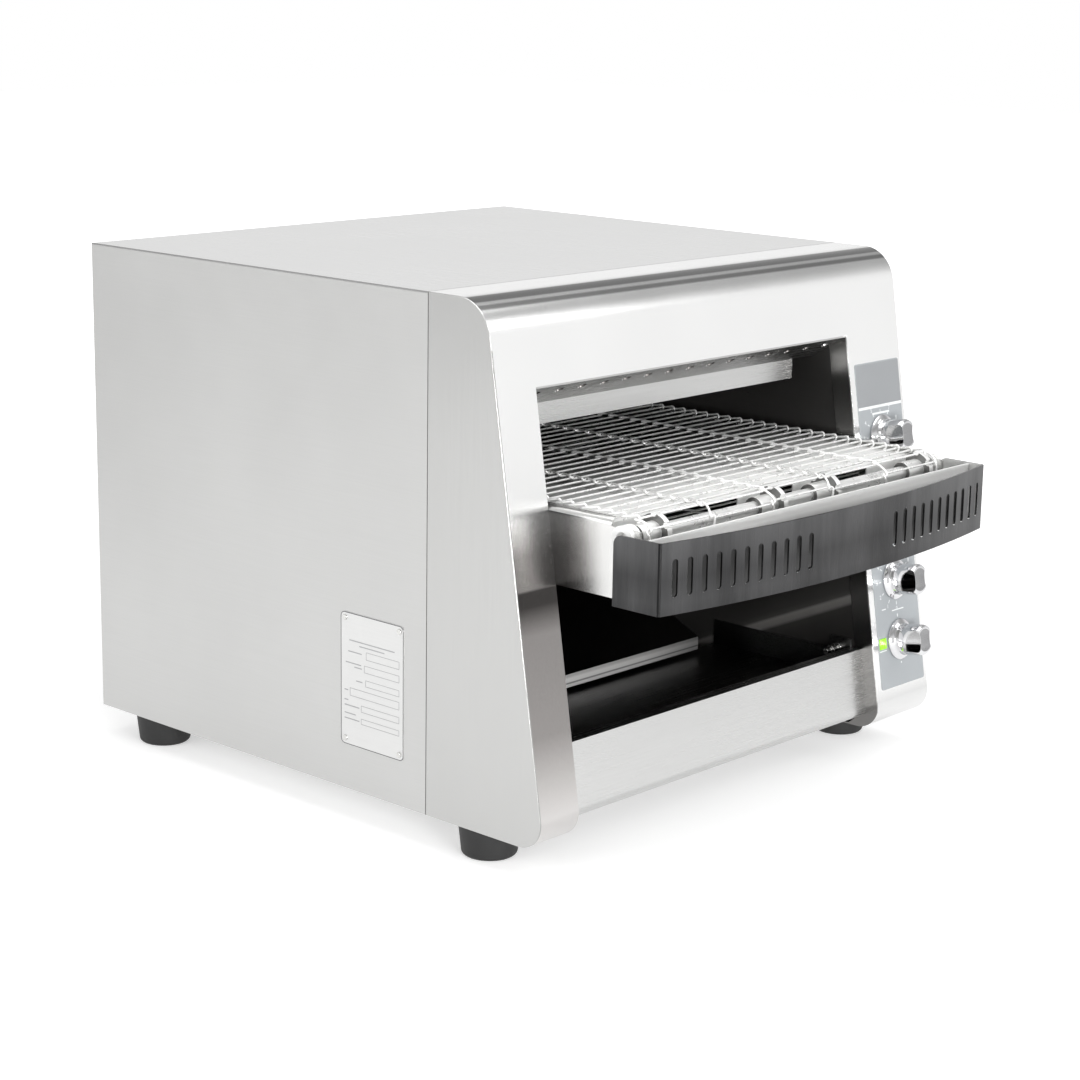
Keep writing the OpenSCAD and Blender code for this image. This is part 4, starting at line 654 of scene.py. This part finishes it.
def makeKnobs():
    grip, skirt, top, floor = knob["gripRadius"], knob["skirtRadius"], knob["length"], knob["scoopFloor"]
    like = knobSection(grip, floor)
    rings = [(roundSection(r, like), z) for r, z in (
        (skirt - 0.5, 0.0), (skirt - 0.14, 0.14), (skirt, 0.5), (skirt, 1.5), (skirt - 0.3, 1.95),
        (grip + 1.7, knob["skirtH"] - 0.25), (grip + 0.7, knob["skirtH"] + 0.2), (grip, knob["skirtH"] + 1.1),
        (grip, floor - 0.4), (grip - 0.25, floor - 0.05))]
    for radius, z in ((grip - 0.25, floor), (grip, floor + 0.3), (grip, 12.0), (grip, 17.0),
                      (grip, top - 2.2), (grip - 0.3, top - 1.3), (grip - 1.0, top - 0.55),
                      (grip - 1.9, top - 0.15), (grip - 2.6, top)):
        rings.append((knobSection(radius, z), z))
    face = knobSection(grip - 2.6, top)
    rings.append(([(x * 0.93, y * 0.93) for x, y in face], top - 0.12))
    for name, h in zip(knob["names"], knob["heights"]):
        around = Matrix.Rotation(math.pi / 2 - lean, 4, "X")
        at = place(knob["x"], faceDepth(h), h)
        verts, faces = [], []
        for ring, z in rings:
            verts += [at + around @ (Vector((x, y, z + knob["base"])) * mm) for x, y in ring]
        count = len(like)
        for i in range(len(rings) - 1):
            for k in range(count):
                n = (k + 1) % count
                faces.append((i * count + k, i * count + n, (i + 1) * count + n, (i + 1) * count + k))
        faces.append(tuple(range(count - 1, -1, -1)))
        faces.append(tuple(range((len(rings) - 1) * count, len(rings) * count)))
        made = addPiece(name + "KnobCap", verts, faces, knobChrome, (name + "_knob",))
        made.data.materials.append(knobFace)
        made.data.polygons[-1].material_index = 1
        made.data.set_sharp_from_angle(angle=math.radians(40))
        addSpindle(made, at, around)


def addSpindle(made, at, around):  # the spindle behind the knob, in the same piece
    shaped = bmesh.new()
    shaped.from_mesh(made.data)
    radius, length = knob["spindleRadius"] * mm, knob["spindleLength"] * mm
    rod = bmesh.ops.create_cone(shaped, cap_ends=True, segments=32, radius1=radius, radius2=radius,
                                depth=length)
    middle = Matrix.Translation((0, 0, length / 2 + knob["spindleStart"] * mm))
    bmesh.ops.transform(shaped, matrix=Matrix.Translation(at) @ around @ middle, verts=rod["verts"])
    shaped.to_mesh(made.data)
    shaped.free()


makeKnobs()
print("knobs ready")

# Softened copies of the sheet parts

seamY = place(0, 379, 0).y
sideX = (place(-casing["halfWidth"], 0, 0).x, place(casing["halfWidth"], 0, 0).x)
guard = {"cornerDepth": 570, "cornerX": (-208, 178), "bendReach": 2.4, "innerHalf": 186}


def guardBend(a, b):
    reach = guard["bendReach"] * mm
    upright = abs(a.x - b.x) < 1e-5 and abs(a.y - b.y) < 1e-5 and abs(a.z - b.z) > 10 * mm
    nearBend = min(abs(a.x - place(c, 0, 0).x) for c in guard["cornerX"]) < reach
    return upright and nearBend and abs(a.y - place(0, guard["cornerDepth"], 0).y) < reach


def shroudBend(a, b):
    atSide = any(abs(a.x - c) < 1e-5 and abs(b.x - c) < 1e-5 for c in sideX)
    inSeam = abs(a.y - seamY) < 1e-4 and abs(b.y - seamY) < 1e-4
    under = a.z < place(0, 0, 0.5).z and b.z < place(0, 0, 0.5).z
    return atSide and not inSeam and not under and outlineOutside(a) and outlineOutside(b)


def outlineOutside(point):  # on the shroud's outer skin, not on the inner one
    h = point.z / mm - casing["underside"]
    depth = casing["rear"] - point.y / mm
    if h > crown["h"] + 4:
        outer = crown["radius"] - 0.5
        return (math.hypot(depth - crown["depth"], h - crown["h"]) > outer
                or (depth < crown["depth"] and h > crown["h"] + outer))
    return depth > faceDepth(h) - 0.4 or h < 20


def hubSide(face):  # the flat sides of the toothed hubs, which get dark hub steel as painted shade
    return abs(face.normal.x) > 0.7


def guardInner(face):  # faces of the guard's inner side, without the walls of its slots
    middle = place(belt["middle"], 545, 205)
    inward = face.normal.dot(middle - face.center) > 10 * mm
    return inward and (abs(face.normal.x) < 0.5 or abs(face.center.x - middle.x) > guard["innerHalf"] * mm)


def chuteLip(face):  # the chute's front edge, which gets the bright lip steel as a painted highlight
    return face.normal.y < -0.9 and face.center.y < place(0, 330.6, 0).y


def holeWall(face):  # the walls of the air holes, which get dark chamber steel as painted shade
    return abs(face.normal.x) > 0.2 and abs(face.center.x - place(belt["middle"], 0, 0).x) < 170 * mm


softEdges = [  # node, width in millimetres
    ("lower_front_panel", 0.4), ("left_side_panel", 0.25), ("right_side_panel", 0.25), ("top_panel", 0.3),
    ("left_conveyor_rail", 0.3), ("right_conveyor_rail", 0.3), ("infeed_pan", 0.3), ("belt_deck", 0.3),
    ("data_plate", 0.15), ("collecting_tray", 0.3), ("front_bearings", 0.3), ("front_shaft", 0.4),
    ("thumb_screws", 0.3), ("guard_brackets", 0.3), ("control_overlay", 0.08), ("indicator_lamp", 0.3),
    ("data_plate_rivets", 0.3), ("feet", 0.8), ("cable_gland", 0.3),
]
soften("front_guard", 0.3 * mm, wider=(guardBend, 1.9 * mm, 4), chosen=guardInner, second=guardInside)
soften("return_chute", 0.3 * mm, chosen=chuteLip, second=lipHighlightSteel)
soften("heat_deflector", 0.25 * mm, chosen=holeWall, second=chamberSteel)
soften("front_hubs", 0.3 * mm, chosen=hubSide, second=shadedHubFaces)
soften("front_shroud", 0.25 * mm, wider=(shroudBend, 1.4 * mm, 3))
for name, width in softEdges:
    soften(name, width * mm)
print("edges softened")

# Print on the overlay and the data plate, and a painted shadow round the plate's edge

overlay = {
    "x": 201.5, "h": 162.5, "surface": 0.42, "thick": 0.04, "halfW": 29.2, "halfL": 132.2, "blockFoot": 258.6,
    "blockGap": 1.0, "lineW": 2.2, "tickFrom": 18.4, "tickTo": 21.2, "tickW": 0.7, "ticks": 10,
    "digitsAt": 24.2, "digitSize": 4.6, "digitLift": 0.02,
    "dialStrokes": ((-20.5, -15.0, -22.4), (-7.0, 9.0, -25.2)), "dialStrokeW": 0.9,
    "powerTicks": ((90, 21.0), (-90, 20.0), (0, 21.0)), "powerTickW": 1.0,
    "powerStroke": (-28.0, -18.6, -6.0), "powerStrokeW": 0.8,
    "titleStroke": (-11.0, 12.2, 18.3), "titleW": 1.6,
}
dials, powerDial = knob["heights"][:3], knob["heights"][3]
faceTurn = Matrix.Rotation(math.pi / 2 - lean, 4, "X")


def facePoint(h, across, along, out):  # across, along and out of the leaning face, from the knob's axis at h
    return place(knob["x"], faceDepth(h), h) + faceTurn @ (Vector((across, along, out)) * mm)


def addBox(corners, toWorld, thick, verts, faces):  # a thin plate on four corners, given flat
    first = len(verts)
    for out in (0.0, thick):
        verts += [toWorld(a, b, out) for a, b in corners]
    faces += [tuple(first + i for i in face) for face in (
        (3, 2, 1, 0), (4, 5, 6, 7), (0, 1, 5, 4), (1, 2, 6, 5), (2, 3, 7, 6), (3, 0, 4, 7))]


def bar(x0, y0, x1, y1, width):  # the corners of a line
    way = Vector((x1 - x0, y1 - y0)).normalized() * width / 2
    return [(x0 + way.y, y0 - way.x), (x1 + way.y, y1 - way.x),
            (x1 - way.y, y1 + way.x), (x0 - way.y, y0 + way.x)]


def dialAngle(index):
    return math.radians(-90 - 30 * index)


def addOverlayShape(h, corners, verts, faces):
    def toFace(a, b, out):
        return facePoint(h, a, b, overlay["surface"] + out)

    addBox(corners, toFace, overlay["thick"], verts, faces)


def tick(turn, far, width):  # a radial line from the dial's inner circle
    c, s, near = math.cos(turn), math.sin(turn), overlay["tickFrom"]
    return bar(near * c, near * s, far * c, far * s, width)


def flatBar(x0, x1, y, width):
    return bar(x0, y, x1, y, width)


def fullWidth(low, high):  # from edge to edge of the overlay
    middle = overlay["x"] - knob["x"]
    left, right = middle - overlay["halfW"], middle + overlay["halfW"]
    return [(left, low), (right, low), (right, high), (left, high)]


def printOverlay():
    verts, faces = [], []
    addOverlayShape(overlay["blockFoot"] - overlay["lineW"], fullWidth(0, overlay["lineW"]), verts, faces)
    for h in dials:
        for index in range(overlay["ticks"]):
            addOverlayShape(h, tick(dialAngle(index), overlay["tickTo"], overlay["tickW"]), verts, faces)
        for stroke in overlay["dialStrokes"]:
            addOverlayShape(h, flatBar(*stroke, overlay["dialStrokeW"]), verts, faces)
    for angle, far in overlay["powerTicks"]:
        addOverlayShape(powerDial, tick(math.radians(angle), far, overlay["powerTickW"]), verts, faces)
    addOverlayShape(powerDial, flatBar(*overlay["powerStroke"], overlay["powerStrokeW"]), verts, faces)
    addOverlayShape(dials[0], flatBar(*overlay["titleStroke"], overlay["titleW"]), verts, faces)
    addPiece("overlayPrint", verts, faces, printWhite, smooth=False)
    verts, faces = [], []
    long = (overlay["h"] - overlay["blockFoot"]) / math.cos(lean) + overlay["halfL"] - overlay["blockGap"]
    addOverlayShape(overlay["blockFoot"], fullWidth(0, long), verts, faces)
    addPiece("overlayBlock", verts, faces, overlayBlock, smooth=False)


def digitMesh(index):
    curve = bpy.data.curves.new("digit", "FONT")
    curve.body = str(index)
    curve.size = overlay["digitSize"] * mm
    curve.align_x = "CENTER"
    curve.align_y = "CENTER"
    curve.extrude = overlay["digitLift"] * mm
    holder = bpy.data.objects.new("digit", curve)
    bpy.context.scene.collection.objects.link(holder)
    made = bpy.data.meshes.new_from_object(holder)
    bpy.data.objects.remove(holder)
    bpy.data.curves.remove(curve)
    return made


def printDigits():
    joined = bmesh.new()
    for h in dials:
        for index in range(overlay["ticks"]):
            digit = digitMesh(index)
            turn, reach = dialAngle(index), overlay["digitsAt"]
            at = facePoint(h, reach * math.cos(turn), reach * math.sin(turn),
                           overlay["surface"] + overlay["digitLift"])
            digit.transform(Matrix.Translation(at) @ faceTurn)
            joined.from_mesh(digit)
            bpy.data.meshes.remove(digit)
    mesh = bpy.data.meshes.new("overlayDigits")
    joined.to_mesh(mesh)
    joined.free()
    finishPiece("overlayDigits", mesh, printWhite)


plate = {  # sizes in millimetres; fields and labels as shares of its width and height
    "width": 66.5, "height": 101.5, "depth": 322.7, "h": 85.5, "x": -235.6, "lift": 0.02,
    # inset and corner radius of the painted shadow ring, and its height
    "rimOuter": (0.1, 3.9), "rimInner": (0.65, 3.4), "rimTop": 0.06,
    "lineW": 0.42, "labelW": 0.8, "thick": 0.03,
    "fields": [(0.41, 0.93, 0.267, 0.322), (0.38, 0.93, 0.370, 0.421), (0.40, 0.93, 0.478, 0.524),
               (0.15, 0.93, 0.565, 0.622), (0.33, 0.93, 0.678, 0.725), (0.33, 0.93, 0.777, 0.817)],
    "labels": [(0.12, 0.34, 0.29), (0.08, 0.33, 0.375), (0.22, 0.34, 0.40), (0.25, 0.35, 0.50),
               (0.06, 0.12, 0.585), (0.06, 0.12, 0.66), (0.06, 0.30, 0.70), (0.06, 0.24, 0.76),
               (0.06, 0.30, 0.80), (0.14, 0.86, 0.205), (0.30, 0.70, 0.235)],
}


def platePoint(across, down, out):  # from the plate's upper rear corner
    return place(plate["x"] - out, plate["depth"] - plate["width"] / 2 + across,
                 plate["h"] + plate["height"] / 2 - down)


def platePrint(across, down, out):
    return platePoint(across, down, plate["lift"] + out)


def roundRect(inset, radius, steps=6):  # the plate's outline, drawn in by inset
    near = inset + radius
    farX, farY = plate["width"] - near, plate["height"] - near
    points = []
    for x, y, start in ((farX, farY, 0), (near, farY, 90), (near, near, 180), (farX, near, 270)):
        for i in range(steps + 1):
            turn = math.radians(start + 90 * i / steps)
            points.append((x + radius * math.cos(turn), y + radius * math.sin(turn)))
    return points


# a dark ring just inside the plate's edge: painted shadow of its raised edge
def printRim():
    verts, faces = [], []
    outer, inner = roundRect(*plate["rimOuter"]), roundRect(*plate["rimInner"])
    count = len(outer)
    for out in (plate["lift"], plate["rimTop"]):
        verts += [platePoint(a, b, out) for a, b in outer + inner]
    for k in range(count):
        n = (k + 1) % count
        top = 2 * count
        faces += [(k, n, count + n, count + k), (top + k, top + count + k, top + count + n, top + n),
                  (k, top + k, top + n, n),
                  (count + k, count + n, top + count + n, top + count + k)]
    addPiece("plateEdgeShadow", verts, faces, edgeShadowDark, smooth=False)


def printPlate():
    verts, faces = [], []
    width, height = plate["width"], plate["height"]
    for u0, u1, v0, v1 in plate["fields"]:
        x0, x1, y0, y1 = u0 * width, u1 * width, v0 * height, v1 * height
        for line in ((x0, y0, x1, y0), (x0, y1, x1, y1), (x0, y0, x0, y1), (x1, y0, x1, y1)):
            addBox(bar(*line, plate["lineW"]), platePrint, plate["thick"], verts, faces)
    addPiece("plateFields", verts, faces, printGrey, smooth=False)
    verts, faces = [], []
    for u0, u1, v in plate["labels"]:
        addBox(flatBar(u0 * width, u1 * width, v * height, plate["labelW"]), platePrint, plate["thick"],
               verts, faces)
    addPiece("plateDashes", verts, faces, printGrey, smooth=False)


printOverlay()
printDigits()
printRim()
printPlate()
print("print ready")

# Floor, lights and camera

studio = {
    "floorSize": 16.0,
    "floorLift": 0.42,
    "glossLift": 0.45,
    "farLift": 1.2,
    "liftFrom": 0.75,
    "liftTo": 2.0,
    "worldLevel": 0.55,
    "sky": [(-0.2, 1.0), (0.0, 1.0), (0.16, 0.98), (0.30, 0.90), (0.42, 0.55), (0.56, 0.44), (0.70, 0.60),
            (0.85, 1.0)],
}


def glossySeen(tree, path):  # rays that arrive by reflection or through glass
    return math2(tree, "MAXIMUM", path.outputs["Is Glossy Ray"], path.outputs["Is Transmission Ray"])


def makeFloor():
    bpy.ops.mesh.primitive_plane_add(size=studio["floorSize"])
    floor = bpy.context.object
    floor.name = "floor"
    made, tree, shader = startMaterial("paleFloor")
    clouds = grainNoise(tree, (1, 1, 1), 3.0)
    tint = mixColors(tree, remap(tree, clouds, 0, 1), (0.79, 0.79, 0.79), (0.80, 0.80, 0.80))
    tree.links.new(tint, shader.inputs["Base Color"])
    shader.inputs["Roughness"].default_value = 0.9
    shader.inputs["Specular IOR Level"].default_value = 0.0
    x, y, z = splitObject(tree)
    square = math2(tree, "ADD", math2(tree, "MULTIPLY", x, x), math2(tree, "MULTIPLY", y, y))
    reach = math2(tree, "SQRT", square)
    lift = remap(tree, reach, studio["floorLift"], studio["farLift"], studio["liftFrom"], studio["liftTo"])
    path = addNode(tree, "ShaderNodeLightPath")
    seen = glossySeen(tree, path)
    shine = math2(tree, "MULTIPLY", seen, studio["glossLift"])
    shine = math2(tree, "ADD", shine, math2(tree, "MULTIPLY", path.outputs["Is Camera Ray"], lift))
    tree.links.new(shine, shader.inputs["Emission Strength"])
    shader.inputs["Emission Color"].default_value = (1, 1, 1, 1)
    floor.data.materials.append(made)


def makeWorld():
    world = bpy.data.worlds.new("softWorld")
    bpy.context.scene.world = world
    world.use_nodes = True
    tree = world.node_tree
    background = tree.nodes["Background"]
    coords = addNode(tree, "ShaderNodeTexCoord")
    split = addNode(tree, "ShaderNodeSeparateXYZ")
    tree.links.new(coords.outputs["Generated"], split.inputs[0])
    sky = levels(tree, split.outputs["Z"], -1.0, 1.0, studio["sky"])
    path = addNode(tree, "ShaderNodeLightPath")
    seen = glossySeen(tree, path)
    dim = studio["worldLevel"]
    gloss = mixColors(tree, seen, (dim, dim, dim), sky)
    full = mixColors(tree, path.outputs["Is Camera Ray"], gloss, (1, 1, 1))
    tree.links.new(full, background.inputs["Color"])


lamps = [  # name, place, aim, width, height in metres, watts
    ("topLamp", (0.1, -0.2, 1.9), (0, 0, 0.2), 1.6, 1.6, 15),
    ("rightLamp", (1.3, -1.9, 1.7), (0, -0.1, 0.25), 1.0, 1.0, 9),
    ("leftLamp", (-1.9, 0.6, 0.9), (0, 0, 0.2), 1.4, 1.2, 9),
    ("lowLamp", (-0.75, -1.5, 0.30), (0.05, 0, 0.12), 0.5, 0.3, 18),
]


def makeLamps():
    for name, spot, aim, width, height, watts in lamps:
        data = bpy.data.lights.new(name, "AREA")
        data.shape = "RECTANGLE"
        data.size = width
        data.size_y = height
        data.energy = watts
        lamp = bpy.data.objects.new(name, data)
        lamp.location = spot
        lamp.rotation_mode = "QUATERNION"
        lamp.rotation_quaternion = (Vector(aim) - Vector(spot)).to_track_quat("-Z", "Y")
        bpy.context.scene.collection.objects.link(lamp)


photoCamera = {
    "place": (-1.4265, -1.2997, 0.6311),
    "azimuth": -47.242,
    "elevation": 13.308,
    "roll": 0.922,
    "lens": 82.565,
}


def makeCamera():
    data = bpy.data.cameras.new("photoCamera")
    data.lens = photoCamera["lens"]
    data.sensor_width = 36.0
    camera = bpy.data.objects.new("photoCamera", data)
    turn = math.radians(photoCamera["azimuth"])
    tilt = math.radians(photoCamera["elevation"])
    back = Vector((math.sin(turn) * math.cos(tilt), -math.cos(turn) * math.cos(tilt), math.sin(tilt)))
    level = (-back).to_track_quat("-Z", "Y")
    camera.rotation_mode = "QUATERNION"
    camera.rotation_quaternion = level @ Quaternion((0, 0, 1), math.radians(photoCamera["roll"]))
    camera.location = photoCamera["place"]
    bpy.context.scene.collection.objects.link(camera)
    bpy.context.scene.camera = camera


makeFloor()
makeWorld()
makeLamps()
makeCamera()
bpy.context.scene.view_settings.view_transform = "Standard"
print("studio ready")
